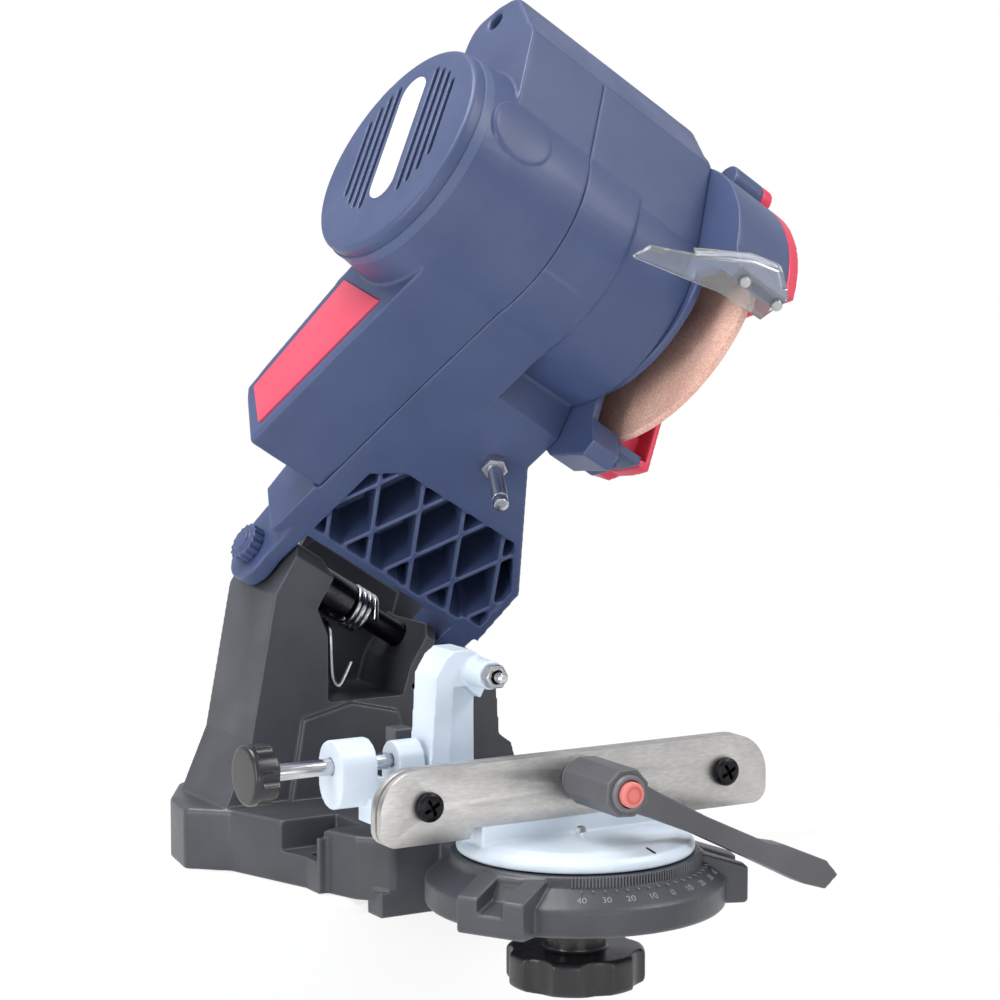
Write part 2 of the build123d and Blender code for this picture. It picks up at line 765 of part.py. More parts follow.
with BuildSketch() as lobe_section:
    with BuildLine():
        Polyline(*lobe_points, close=True)
    make_face()
    fillet(lobe_section.vertices().filter_by_position(Axis.Y, 85, 100), radius=lobe_corner)
lobe_outline = lobe_section.sketch
motor_outline = housing(motor_radius, flank_points)
motor_cavity = housing(motor_radius, flank_points, inset=shell_wall)
gear_outline = housing(gear_end_radius, gear_flank_points)
gear_cavity = housing(gear_end_radius, gear_flank_points, inset=shell_wall)
block_outline = housing(motor_radius, flank_points, block_points)
block_cavity = housing(motor_radius, flank_points, block_points, inset=shell_wall)

front_bearing_w = (56.0, 64.0)
bearing_radius = 11.0
pocket_depth = 24.0
pocket_points = [(28, -13), (51, -15.5), (70, -31), (70, -88), (61, -99), (28, -99)]
with BuildSketch() as rib_lattice:
    for row in range(5):
        with Locations((50, -12 - 21 * row)):
            Rectangle(70, rib_thickness, rotation=22)
    for row in range(6):
        with Locations((50, -2 - 21 * row)):
            Rectangle(70, rib_thickness, rotation=-34)
    with BuildLine():
        Polyline(*pocket_points, close=True)
    make_face(mode=Mode.INTERSECT)

with BuildPart() as gear_shell:
    with BuildSketch(side(gear_wall_w)):
        add(gear_outline)
    extrude(amount=gear_step_w - gear_wall_w)
    with BuildSketch(side(gear_step_w)):
        add(motor_outline)
    extrude(amount=seam_w - gear_step_w)
    # neck down to the hinge
    with BuildSketch(under(neck_bottom_q)):
        with BuildLine():
            Polyline((neck_rear_p, -9), (52, -12), (102, -53), (neck_front_p, -56), (neck_front_p, -seam_w),
                     (44.5, -seam_w), (44.5, -103), (neck_rear_p, -103), close=True)
        make_face()
    extrude(amount=neck_top_q - neck_bottom_q)
    # motor cavity, open at the seam
    with BuildSketch(side(front_bearing_w[0])):
        add(gear_cavity)
    extrude(amount=gear_step_w - front_bearing_w[0], mode=Mode.SUBTRACT)
    with BuildSketch(side(gear_step_w)):
        add(motor_cavity)
    extrude(amount=seam_w - gear_step_w, mode=Mode.SUBTRACT)
    with BuildSketch(under(neck_bottom_q + shell_wall)):
        with BuildLine():
            Polyline((75, -72), (neck_front_p + 4, -72), (neck_front_p + 4, -seam_w), (75, -seam_w),
                     close=True)
        make_face()
    extrude(amount=neck_top_q - neck_bottom_q - 2 * shell_wall, mode=Mode.SUBTRACT)
    # opening at the back of the neck for the spring
    with BuildSketch(under(neck_bottom_q - 1)):
        with BuildLine():
            Polyline((20, -40), (31, -40), (31, -55), (20, -55), close=True)
        make_face()
    extrude(amount=pocket_depth - 4, mode=Mode.SUBTRACT)
    # ribbed pocket under the neck
    with BuildSketch(under(neck_bottom_q)):
        with BuildLine():
            Polyline(*pocket_points, close=True)
        make_face()
    extrude(amount=pocket_depth, mode=Mode.SUBTRACT)
    with BuildSketch(under(neck_bottom_q + 0.8)):
        add(rib_lattice.sketch)
    extrude(amount=pocket_depth)
    # hinge ears
    with BuildSketch(side(ear_w[0])):
        Circle(ear_radius)
        with BuildLine():
            Polyline((0, ear_radius), (46, 23), (46, neck_bottom_q), (neck_rear_p, neck_bottom_q),
                     (6, -12.6), (0, -ear_radius), close=True)
        make_face()
    extrude(amount=ear_w[1] - ear_w[0])
    with BuildSketch(side(ear_w[1] - 1)):
        with BuildLine():
            Polyline((17, 15), (44.2, 22), (44.2, neck_bottom_q), (neck_rear_p, neck_bottom_q),
                     (17, -11), close=True)
        make_face()
    extrude(amount=7)
    with BuildSketch(side(inner_ear_w[0])):
        Circle(ear_radius - 1)
        with BuildLine():
            Polyline((0, 13), (30, 16), (30, neck_bottom_q), (5, neck_bottom_q), (0, -13), close=True)
        make_face()
    extrude(amount=inner_ear_w[1] - inner_ear_w[0])
    with BuildSketch(side(inner_ear_w[0] - 1)):
        Circle(hinge_radius + running_gap)
    extrude(amount=ear_w[1] - inner_ear_w[0] + 2, mode=Mode.SUBTRACT)
    # bearing seat, shaft opening and screw pillars
    with BuildSketch(side(front_bearing_w[0])):
        with Locations((wheel_p, wheel_q)):
            Circle(bearing_radius + 3)
            Circle(bearing_radius, mode=Mode.SUBTRACT)
    extrude(amount=front_bearing_w[1] - front_bearing_w[0])
    with BuildSketch(side(gear_wall_w - 1)):
        with Locations((wheel_p, wheel_q)):
            Circle(7)
    extrude(amount=6, mode=Mode.SUBTRACT)
    with BuildSketch(side(gear_step_w)):
        with Locations(*pillar_places):
            Circle(5)
        add(motor_outline, mode=Mode.INTERSECT)
    extrude(amount=seam_w - gear_step_w)
    with BuildSketch(side(gear_step_w + 6)):
        with Locations(*pillar_places):
            Circle(screw_core)
    extrude(amount=seam_w - gear_step_w, mode=Mode.SUBTRACT)
    # bore of the depth screw
    with BuildSketch(under(neck_bottom_q - 1)):
        with Locations((depth_p, -depth_w)):
            Circle(depth_radius + running_gap)
    extrude(amount=neck_top_q - neck_bottom_q + 2, mode=Mode.SUBTRACT)
finish(gear_shell, "gear_shell")

panel_points = [(105, 27.5), (121, -6), (51, -6), (50, 19)]
block_top = Plane(
    origin=hinge + forward * 76 + upward * 28.25 - along * 128,
    x_dir=forward * cos(radians(8.85)) + upward * sin(radians(8.85)),
    z_dir=upward * cos(radians(8.85)) - forward * sin(radians(8.85)))
gland_x = -23.2
screw_head_w = 144.0
with BuildPart() as motor_shell:
    with BuildSketch(side(seam_w)):
        add(block_outline)
    extrude(amount=block_w - seam_w)
    with BuildSketch(side(block_w)):
        add(lobe_outline)
    extrude(amount=lobe_w - block_w)
    with BuildSketch(side(block_w)):
        with Locations((motor_p, motor_q)):
            Circle(motor_radius)
    extrude(amount=shoulder_w - block_w, taper=7)
    # cavity
    with BuildSketch(side(seam_w)):
        add(block_cavity)
    extrude(amount=block_w - shell_wall - seam_w, mode=Mode.SUBTRACT)
    with BuildSketch(side(seam_w)):
        with Locations((motor_p, motor_q)):
            Circle(motor_radius - shell_wall - 2)
    extrude(amount=shoulder_w - seam_w, mode=Mode.SUBTRACT)
    # pillars and sunk screw seats
    with BuildSketch(side(seam_w)):
        with Locations(*pillar_places):
            Circle(5)
        add(motor_outline, mode=Mode.INTERSECT)
    extrude(amount=block_w - seam_w)
    with BuildSketch(side(seam_w - 1)):
        with Locations(*pillar_places):
            Circle(screw_core)
    extrude(amount=block_w, mode=Mode.SUBTRACT)
    with BuildSketch(side(screw_head_w - 2.4)):
        with Locations(*pillar_places):
            Circle(3.5)
    extrude(amount=20, mode=Mode.SUBTRACT)
    # recess of the trim panel
    with BuildSketch(side(block_w - 1)):
        with BuildLine():
            Polyline(*panel_points, close=True)
        make_face()
    extrude(amount=2, mode=Mode.SUBTRACT)
    # openings for the switch and the cable gland
    with BuildSketch(block_top.offset(-6)):
        Rectangle(28, 13)
    extrude(amount=10, mode=Mode.SUBTRACT)
    with BuildSketch(block_top.offset(-6)):
        with Locations((gland_x, 0)):
            Circle(5)
    extrude(amount=10, mode=Mode.SUBTRACT)
finish(motor_shell, "motor_shell")

rear_bearing_w = (150.0, 157.0)
rear_bearing_radius = 9.5
cap_radius = motor_radius - 2.2
with BuildPart() as motor_cap:
    with BuildSketch(side(shoulder_w)):
        with Locations((motor_p, motor_q)):
            Circle(cap_radius)
    extrude(amount=cap_face_w - shoulder_w)
    chamfer(motor_cap.edges().filter_by(GeomType.CIRCLE), length=1.2)
    with BuildSketch(side(shoulder_w - 0.1)):
        with Locations((motor_p, motor_q)):
            Circle(cap_radius - 4)
    extrude(amount=5.1, mode=Mode.SUBTRACT)
    # hub of the rear bearing on its cross bridge
    with BuildSketch(side(rear_bearing_w[0])):
        with Locations((wheel_p, wheel_q)):
            Circle(rear_bearing_radius + 3)
            Circle(rear_bearing_radius, mode=Mode.SUBTRACT)
    extrude(amount=cap_face_w - 2 - rear_bearing_w[0])
    # vent slots on both sides of the label
    with BuildSketch(side(cap_face_w - 5)):
        for turn in (vent_slope, vent_slope + 180):
            for beside in (11.6, 16.2, 20.8, 25.4):
                with Locations(Location((label_p, label_q, 0), (0, 0, turn))):
                    with Locations((0, beside)):
                        SlotOverall(2 * (31.0 ** 2 - beside ** 2) ** 0.5, 2.2)
    extrude(amount=8, mode=Mode.SUBTRACT)
finish(motor_cap, "motor_cap")

with BuildPart() as label_plate:
    with BuildSketch(side(cap_face_w)):
        with Locations(Location((label_p, label_q, 0), (0, 0, vent_slope))):
            SlotOverall(56, 14)
    extrude(amount=0.6)
finish(label_plate, "label_plate")

with BuildPart() as trim_panel:
    with BuildSketch(side(block_w - 1)):
        with BuildLine():
            Polyline(*panel_points, close=True)
        make_face()
    extrude(amount=1.5)
finish(trim_panel, "trim_panel")

with BuildPart() as shell_screws:
    with BuildSketch(side(gear_step_w + 8)):
        with Locations(*pillar_places):
            Circle(screw_core)
    extrude(amount=screw_head_w - 2.4 - gear_step_w - 8)
    with BuildSketch(side(screw_head_w - 2.4)):
        with Locations(*pillar_places):
            Circle(3.2)
    extrude(amount=2.2)
    with BuildSketch(side(screw_head_w - 1.4)):
        with Locations(*pillar_places):
            Rectangle(3.6, 0.8, rotation=15)
            Rectangle(0.8, 3.6, rotation=15)
    extrude(amount=3, mode=Mode.SUBTRACT)
finish(shell_screws, "shell_screws")

with BuildPart() as pin_cap:
    with BuildSketch(side(ear_w[1])):
        Circle(7.0)
        with PolarLocations(7.0, 16):
            Circle(0.8)
    extrude(amount=5)
    with BuildSketch(side(ear_w[1] + 5)):
        Circle(4.6)
    extrude(amount=1.4, taper=20)
finish(pin_cap, "pin_cap")

# ---------------------------------------------------------------- wheel guard, cover and visor
window_points = [round_wheel(150, guard_open[0]), (wheel_p, wheel_q - 160), round_wheel(150, guard_open[1])]
boss_place = round_wheel(guard_radius + 1.5, 34)
tail_place = round_wheel(wheel_radius + 4.6, 211)
tail_depth = 10.0
visor_q = (-13.0, -11.0)
wheel_front_p = wheel_p + (wheel_radius ** 2 - (wheel_q - visor_q[1]) ** 2) ** 0.5
visor_screw_p = wheel_front_p + 13.5
visor_screw_w = (30.0, 47.0)


def beyond_wheel(*places):
    """Points (p, q) given as distances beyond the wheel's edge and angles."""
    return [round_wheel(wheel_radius + distance, angle) for distance, angle in places]


def ahead_of_wheel(*places):
    """Points given as distances ahead of the wheel at the visor's height, and their other coordinate."""
    return [(wheel_front_p + distance, other) for distance, other in places]


tail_points = beyond_wheel((10.2, 203.2), (9.4, 216), (5.0, 228), (-8.5, 227), (-14.0, 208.9))
with BuildSketch() as guard_sector:
    with Locations((wheel_p, wheel_q)):
        Circle(guard_radius)
    with BuildLine():
        Polyline(round_wheel(0, 0), *window_points, close=True)
    make_face(mode=Mode.SUBTRACT)

with BuildPart() as wheel_guard:
    with BuildSketch(side(cover_w + 5)):
        add(guard_sector.sketch)
    extrude(amount=gear_wall_w - cover_w - 5)
    with BuildSketch(side(cover_w + 5)):
        with Locations(boss_place):
            Circle(6.5)
    extrude(amount=15)
    # seat of the cover's tail
    with BuildSketch(side(cover_w + 4)):
        with BuildLine():
            Polyline(*tail_points, close=True)
        make_face()
    extrude(amount=tail_depth - 4, mode=Mode.SUBTRACT)
    # lower block, stepped back behind the wheel
    with BuildSketch(side(cover_w + tail_depth)):
        with BuildLine():
            Polyline(*beyond_wheel((9.3, 203.6), (12.6, 219.9), (10.2, 231.4), (5.0, 232.0), (-6.9, 204.2)),
                     close=True)
        make_face()
    extrude(amount=15)
    with BuildSketch(side(38.5)):
        with BuildLine():
            Polyline(*beyond_wheel((9.3, 203.6), (15.1, 219.9), (17.6, 238.9),
                                   (12.9, 242.4), (-4.1, 235.9), (-6.9, 204.2)), close=True)
        make_face()
    extrude(amount=gear_wall_w - 38.5)
    # seat of the visor
    with BuildSketch(side(27)):
        with BuildLine():
            Polyline(*ahead_of_wheel((7, 2), (10.5, visor_q[1]), (17, visor_q[1]), (18.5, 4), (13, 8)),
                     close=True)
        make_face()
    extrude(amount=gear_wall_w - 27)
    # the space of the wheel
    with BuildSketch(side(cover_w + 4)):
        with Locations((wheel_p, wheel_q)):
            Circle(wheel_radius + 3)
    extrude(amount=38.5 - cover_w - 4, mode=Mode.SUBTRACT)
    with BuildSketch(side(38.4)):
        add(guard_sector.sketch)
        with Locations((wheel_p, wheel_q)):
            Circle(guard_radius - guard_wall, mode=Mode.INTERSECT)
    extrude(amount=gear_wall_w - guard_wall - 38.4, mode=Mode.SUBTRACT)
    # wall beside the motor, as far as the shell's round end
    with BuildSketch(side(gear_wall_w - guard_wall)):
        with Locations((wheel_p, wheel_q)):
            Circle(43)
    extrude(amount=guard_wall)
    with BuildSketch(side(gear_wall_w - guard_wall - 1)):
        with Locations((wheel_p, wheel_q)):
            Circle(7)
    extrude(amount=guard_wall + 2, mode=Mode.SUBTRACT)
    # screw bores
    with BuildSketch(side(cover_w + 4)):
        with Locations(boss_place, tail_place):
            Circle(1.5)
    extrude(amount=14, mode=Mode.SUBTRACT)
    with BuildSketch(under(visor_q[1] - 1)):
        with Locations(*[(visor_screw_p, -w) for w in visor_screw_w]):
            Circle(1.2)
    extrude(amount=8, mode=Mode.SUBTRACT)
finish(wheel_guard, "wheel_guard")

with BuildPart() as wheel_cover:
    with BuildSketch(side(cover_w)):
        with Locations((wheel_p, wheel_q)):
            Circle(guard_radius)
        with BuildLine():
            Polyline(round_wheel(24, guard_open[0]), *window_points, round_wheel(24, guard_open[1]),
                     close=True)
        make_face(mode=Mode.SUBTRACT)
        with Locations(boss_place):
            Circle(6.5)
    extrude(amount=5)
    with BuildSketch(side(cover_w + 2.4)):
        with Locations((wheel_p, wheel_q)):
            Circle(guard_radius - guard_wall)
    extrude(amount=5, mode=Mode.SUBTRACT)
    # thick tail below the wheel
    with BuildSketch(side(cover_w)):
        with BuildLine():
            Polyline(*tail_points, close=True)
        make_face()
    extrude(amount=tail_depth)
    with BuildSketch(side(cover_w - 1)):
        with Locations(boss_place, tail_place):
            Circle(1.5)
    extrude(amount=tail_depth + 2, mode=Mode.SUBTRACT)
finish(wheel_cover, "wheel_cover")

with BuildPart() as cover_screws:
    with BuildSketch(side(cover_w)):
        with Locations(boss_place, tail_place):
            Circle(1.5)
    extrude(amount=16)
    with BuildSketch(side(cover_w)):
        with Locations(boss_place, tail_place):
            Circle(3)
    extrude(amount=-1.8, taper=15)
finish(cover_screws, "cover_screws")

with BuildPart() as visor:
    with BuildSketch(under(visor_q[0])):
        with BuildLine():
            Polyline(*ahead_of_wheel((-5, -87), (2, -85), (10, -69), (22, -50), (25, -38), (18, -28),
                                     (5, -30), (4, -50)), close=True)
        make_face()
        with Locations(*[(visor_screw_p, -w) for w in visor_screw_w]):
            Circle(1.2, mode=Mode.SUBTRACT)
    extrude(amount=visor_q[1] - visor_q[0])
    # raised outer lip
    with BuildSketch(under(visor_q[0])):
        with BuildLine():
            Polyline(*ahead_of_wheel((10, -69), (22, -50), (25, -38), (20.5, -31), (19, -32),
                                     (23, -38.5), (20.3, -49.4), (8.6, -68)), close=True)
        make_face()
    extrude(amount=6)
finish(visor, "visor")

with BuildPart() as visor_screws:
    with BuildSketch(under(visor_q[0])):
        with Locations(*[(visor_screw_p, -w) for w in visor_screw_w]):
            Circle(1.2)
    extrude(amount=8)
    with BuildSketch(under(visor_q[0])):
        with Locations(*[(visor_screw_p, -w) for w in visor_screw_w]):
            Circle(2.4)
    extrude(amount=-1.4, taper=12)
finish(visor_screws, "visor_screws")

# ---------------------------------------------------------------- motor, spindle and wheel
stator_w = (88.0, 126.0)
rotor_radius = 23.5
with BuildPart() as stator:
    with BuildSketch(side(stator_w[0])):
        with Locations((motor_p, motor_q)):
            Circle(motor_radius - shell_wall - 2)
        with Locations((wheel_p, wheel_q)):
            Circle(rotor_radius + 0.6, mode=Mode.SUBTRACT)
        with Locations(*pillar_places):
            Circle(5.3, mode=Mode.SUBTRACT)
    extrude(amount=stator_w[1] - stator_w[0])
finish(stator, "stator")

with BuildPart() as brush_bridge:
    with BuildSketch(side(stator_w[1])):
        with Locations((motor_p, motor_q)):
            Circle(motor_radius - shell_wall - 2)
        with Locations((wheel_p, wheel_q)):
            Circle(14, mode=Mode.SUBTRACT)
        with Locations(*pillar_places):
            Circle(5.3, mode=Mode.SUBTRACT)
    extrude(amount=3)
    with BuildSketch(side(stator_w[1] + 3)):
        with Locations((wheel_p, wheel_q + 21), (wheel_p, wheel_q - 21)):
            Rectangle(11, 16)
            Rectangle(6.2, 16, mode=Mode.SUBTRACT)
    extrude(amount=11)
finish(brush_bridge, "brush_bridge")

with BuildPart() as carbon_brushes:
    with BuildSketch(side(stator_w[1] + 3)):
        with Locations((wheel_p, wheel_q + 18), (wheel_p, wheel_q - 18)):
            Rectangle(6, 13)
    extrude(amount=9)
finish(carbon_brushes, "carbon_brushes")

for name, span, outer in (("bearing_front", front_bearing_w, bearing_radius),
                          ("bearing_rear", rear_bearing_w, rear_bearing_radius)):
    with BuildPart() as bearing:
        with BuildSketch(side(span[0])):
            with Locations((wheel_p, wheel_q)):
                Circle(outer)
                Circle(shaft_radius + running_gap, mode=Mode.SUBTRACT)
        extrude(amount=span[1] - span[0])
        # the groove between the rings on both faces
        for face_w in (span[0], span[1] - 0.6):
            with BuildSketch(side(face_w)):
                with Locations((wheel_p, wheel_q)):
                    Circle(outer - 2)
                    Circle(shaft_radius + 1.8, mode=Mode.SUBTRACT)
            extrude(amount=0.6, mode=Mode.SUBTRACT)
    finish(bearing, name)

with BuildPart() as motor_shaft:
    with BuildSketch(side(23)):
        with Locations((wheel_p, wheel_q)):
            Circle(shaft_radius)
    extrude(amount=rear_bearing_w[1] - 23)
finish(motor_shaft, "motor_shaft")

with BuildPart() as rotor_core:
    with BuildSketch(side(stator_w[0] + 1)):
        with Locations((wheel_p, wheel_q)):
            Circle(rotor_radius)
            with PolarLocations(rotor_radius, 12):
                Rectangle(5, 2.2, mode=Mode.SUBTRACT)
            Circle(shaft_radius, mode=Mode.SUBTRACT)
    extrude(amount=stator_w[1] - stator_w[0] - 2)
finish(rotor_core, "rotor_core")

with BuildPart() as commutator:
    with BuildSketch(side(stator_w[1] + 2)):
        with Locations((wheel_p, wheel_q)):
            Circle(11)
            Circle(shaft_radius, mode=Mode.SUBTRACT)
    extrude(amount=14)
finish(commutator, "commutator")

with BuildPart() as cooling_fan:
    with BuildSketch(side(67)):
        with Locations((wheel_p, wheel_q)):
            Circle(8)
            Circle(shaft_radius, mode=Mode.SUBTRACT)
    extrude(amount=14)
    with BuildSketch(side(67)):
        with Locations((wheel_p, wheel_q)):
            Circle(33)
            Circle(7, mode=Mode.SUBTRACT)
    extrude(amount=1.8)
    with BuildSketch(side(68)):
        with Locations((wheel_p, wheel_q)):
            with PolarLocations(20, 11):
                Rectangle(25, 1.6, rotation=18)
    extrude(amount=10)
finish(cooling_fan, "cooling_fan")

wheel_left_w = wheel_w + wheel_width / 2
wheel_right_w = wheel_w - wheel_width / 2
with BuildPart() as grinding_wheel:
    with BuildSketch(side(wheel_right_w)):
        with Locations((wheel_p, wheel_q)):
            Circle(wheel_radius)
            Circle(10, mode=Mode.SUBTRACT)
    extrude(amount=wheel_width)
finish(grinding_wheel, "grinding_wheel")

with BuildPart() as inner_flange:
    with BuildSketch(side(wheel_left_w)):
        with Locations((wheel_p, wheel_q)):
            Circle(16)
            Circle(shaft_radius, mode=Mode.SUBTRACT)
    extrude(amount=4)
    with BuildSketch(side(wheel_right_w)):
        with Locations((wheel_p, wheel_q)):
            Circle(10)
            Circle(shaft_radius, mode=Mode.SUBTRACT)
    extrude(amount=wheel_width)
    with BuildSketch(side(wheel_left_w + 4)):
        with Locations((wheel_p, wheel_q)):
            Circle(6)
            Circle(shaft_radius, mode=Mode.SUBTRACT)
    extrude(amount=front_bearing_w[0] - wheel_left_w - 4.1)
finish(inner_flange, "inner_flange")

with BuildPart() as outer_flange:
    with BuildSketch(side(wheel_right_w)):
        with Locations((wheel_p, wheel_q)):
            Circle(16)
            Circle(shaft_radius, mode=Mode.SUBTRACT)
    extrude(amount=-3.5)
finish(outer_flange, "outer_flange")

with BuildPart() as wheel_nut:
    with BuildSketch(side(wheel_right_w - 3.5)):
        with Locations((wheel_p, wheel_q)):
            RegularPolygon(radius=7.5, side_count=6)
            Circle(shaft_radius, mode=Mode.SUBTRACT)
    extrude(amount=-5)
finish(wheel_nut, "wheel_nut")

# ---------------------------------------------------------------- switch, terminals and gland
switch_depth = 15.0
with BuildPart() as switch_body:
    with BuildSketch(block_top):
        Rectangle(31, 16)
    extrude(amount=1.2)
    with BuildSketch(block_top.offset(-switch_depth)):
        Rectangle(28, 13)
    extrude(amount=switch_depth)
    with BuildSketch(block_top.offset(-9)):
        Rectangle(26, 11)
    extrude(amount=12, mode=Mode.SUBTRACT)
finish(switch_body, "switch_body")

switch_side = Plane(origin=block_top.origin, x_dir=block_top.x_dir, z_dir=along * -1)
with BuildPart() as switch_rocker:
    with BuildSketch(switch_side):
        with BuildLine():
            Polyline((-12, 2.8), (0, 1.4), (12, 2.8), (12, -0.5), (4, -6), (-4, -6), (-12, -0.5), close=True)
        make_face()
    extrude(amount=5.2, both=True)
finish(switch_rocker, "switch_rocker")

with BuildPart() as terminal_block:
    with BuildSketch(under(neck_bottom_q + shell_wall)):
        with Locations((74, -126)):
            Rectangle(24, 16)
    extrude(amount=10)
    with BuildSketch(under(neck_bottom_q + shell_wall + 6)):
        with Locations((66, -126), (74, -126), (82, -126)):
            Circle(2)
    extrude(amount=6, mode=Mode.SUBTRACT)
finish(terminal_block, "terminal_block")

with BuildPart() as cable_gland:
    with BuildSketch(block_top.offset(-shell_wall - 1)):
        with Locations((gland_x, 0)):
            Circle(5)
    extrude(amount=shell_wall + 1)
    with BuildSketch(block_top):
        with Locations((gland_x, 0)):
            Circle(7)
    extrude(amount=2.5)
    with BuildSketch(block_top.offset(2.5)):
        with Locations((gland_x, 0)):
            Circle(5.6)
    extrude(amount=12, taper=4)
    with BuildSketch(block_top.offset(-10)):
        with Locations((gland_x, 0)):
            Circle(3.1)
    extrude(amount=40, mode=Mode.SUBTRACT)
finish(cable_gland, "cable_gland")

# ---------------------------------------------------------------- depth stop
depth_end_q = -38.0
with BuildPart() as depth_collar:
    with BuildSketch(under(neck_bottom_q)):
        with Locations((depth_p, -depth_w)):
            RegularPolygon(radius=5.2, side_count=6)
            Circle(depth_radius + running_gap, mode=Mode.SUBTRACT)
    extrude(amount=-4)
finish(depth_collar, "depth_collar")

with BuildPart() as depth_screw:
    with BuildSketch(under(depth_end_q + 4)):
        with Locations((depth_p, -depth_w)):
            Circle(depth_radius)
    extrude(amount=neck_top_q + 8 - depth_end_q - 4)
    with BuildSketch(under(depth_end_q + 1.5)):
        with Locations((depth_p, -depth_w)):
            Circle(1.6)
    extrude(amount=3)
    with BuildSketch(under(neck_top_q + 7)):
        with Locations((depth_p, -depth_w)):
            Circle(5.5)
            with PolarLocations(5.8, 12):
                Circle(0.8, mode=Mode.SUBTRACT)
    extrude(amount=8)
finish(depth_screw, "depth_screw")

with BuildPart() as depth_tip:
    with BuildSketch(under(depth_end_q)):
        with Locations((depth_p, -depth_w)):
            Circle(2.9)
    extrude(amount=3.9)
    with BuildSketch(under(depth_end_q + 1.4)):
        with Locations((depth_p, -depth_w)):
            Circle(1.6 + running_gap)
    extrude(amount=4, mode=Mode.SUBTRACT)
finish(depth_tip, "depth_tip")
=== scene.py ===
from math import cos, pi, radians, sin

import bmesh
import bpy
import numpy as np
from mathutils import Matrix, Vector


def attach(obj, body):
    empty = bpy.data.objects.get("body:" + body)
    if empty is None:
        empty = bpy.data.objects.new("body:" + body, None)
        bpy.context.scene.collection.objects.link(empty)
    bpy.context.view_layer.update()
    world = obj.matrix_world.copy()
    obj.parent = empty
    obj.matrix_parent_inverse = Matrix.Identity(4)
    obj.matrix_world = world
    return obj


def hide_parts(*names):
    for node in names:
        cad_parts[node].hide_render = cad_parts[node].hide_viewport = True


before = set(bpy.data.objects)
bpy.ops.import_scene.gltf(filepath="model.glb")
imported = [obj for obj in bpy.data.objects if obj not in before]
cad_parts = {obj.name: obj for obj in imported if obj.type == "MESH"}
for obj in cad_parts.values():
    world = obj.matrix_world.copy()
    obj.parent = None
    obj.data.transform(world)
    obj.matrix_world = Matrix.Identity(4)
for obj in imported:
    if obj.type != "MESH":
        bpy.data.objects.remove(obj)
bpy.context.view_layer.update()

# ---------------------------------------------------------------- camera
# A low three-quarter view from the front left, with a long lens so that the tall
# head and the vise below it keep their proportions.
camera = bpy.data.objects.new("view_camera", bpy.data.cameras.new("view_camera"))
bpy.context.scene.collection.objects.link(camera)
camera.data.lens = 101.0
camera.data.sensor_width = 36.0
camera.location = (-0.51277, -0.97753, 0.25616)
line_of_sight = Vector((-0.0232, -0.12961, 0.15352)) - camera.location
camera.rotation_euler = line_of_sight.to_track_quat("-Z", "Y").to_euler()
bpy.context.scene.camera = camera
bpy.context.scene.view_settings.view_transform = "Standard"


# ---------------------------------------------------------------- bench and light
# The sharpener is bolted to a white laminate bench top, with its lip hooked over the
# front edge and its knob hanging free. A pale floor lies below.
def linear(text):
    """Linear colour of an sRGB hex value."""
    parts = [int(text[i:i + 2], 16) / 255 for i in (1, 3, 5)]
    return (*[c / 12.92 if c <= 0.04045 else ((c + 0.055) / 1.055) ** 2.4 for c in parts], 1.0)


def add(tree, kind, inputs=None, **settings):
    """Adds one node. Each input is a value, or the socket that feeds it."""
    made = tree.nodes.new(kind)
    for name, value in settings.items():
        setattr(made, name, value)
    for name, value in (inputs or {}).items():
        if isinstance(value, bpy.types.NodeSocket):
            tree.links.new(value, made.inputs[name])
        else:
            made.inputs[name].default_value = value
    return made


def new_material(name):
    """Empty node material and its tree."""
    material = bpy.data.materials.new(name)
    material.use_nodes = True
    material.node_tree.nodes.clear()
    return material, material.node_tree


def linked(name, mesh, material=None):
    """Object of that mesh in the scene, with its material."""
    piece = bpy.data.objects.new(name, mesh)
    bpy.context.scene.collection.objects.link(piece)
    if material:
        mesh.materials.clear()
        mesh.materials.append(material)
    return piece


paper_white, tree = new_material("white_laminate")
seen = add(tree, "ShaderNodeLightPath")
either = add(tree, "ShaderNodeMath", {0: seen.outputs["Is Camera Ray"], 1: seen.outputs["Is Glossy Ray"]},
             operation="MAXIMUM")
either = add(tree, "ShaderNodeMath", {0: either.outputs[0], 1: seen.outputs["Is Transmission Ray"]},
             operation="MAXIMUM")
place = add(tree, "ShaderNodeTexCoord").outputs["Object"]
away = add(tree, "ShaderNodeVectorMath", {0: place}, operation="LENGTH")
shadow_from, shadow_to, shadow_share = 0.15, 0.42, 0.72
fading = add(tree, "ShaderNodeMapRange", {"Value": away.outputs["Value"], "From Min": shadow_from,
                                          "From Max": shadow_to, "To Min": shadow_share, "To Max": 1.0})
share = add(tree, "ShaderNodeMath", {0: either.outputs[0], 1: fading.outputs[0]}, operation="MULTIPLY")
matt = add(tree, "ShaderNodeBsdfDiffuse", {"Color": linear("#f4f4f4")})
glow = add(tree, "ShaderNodeEmission", {"Color": linear("#ffffff"), "Strength": 1.0})
mixed = add(tree, "ShaderNodeMixShader", {0: share.outputs[0], 1: matt.outputs[0], 2: glow.outputs[0]})
add(tree, "ShaderNodeOutputMaterial", {"Surface": mixed.outputs[0]})

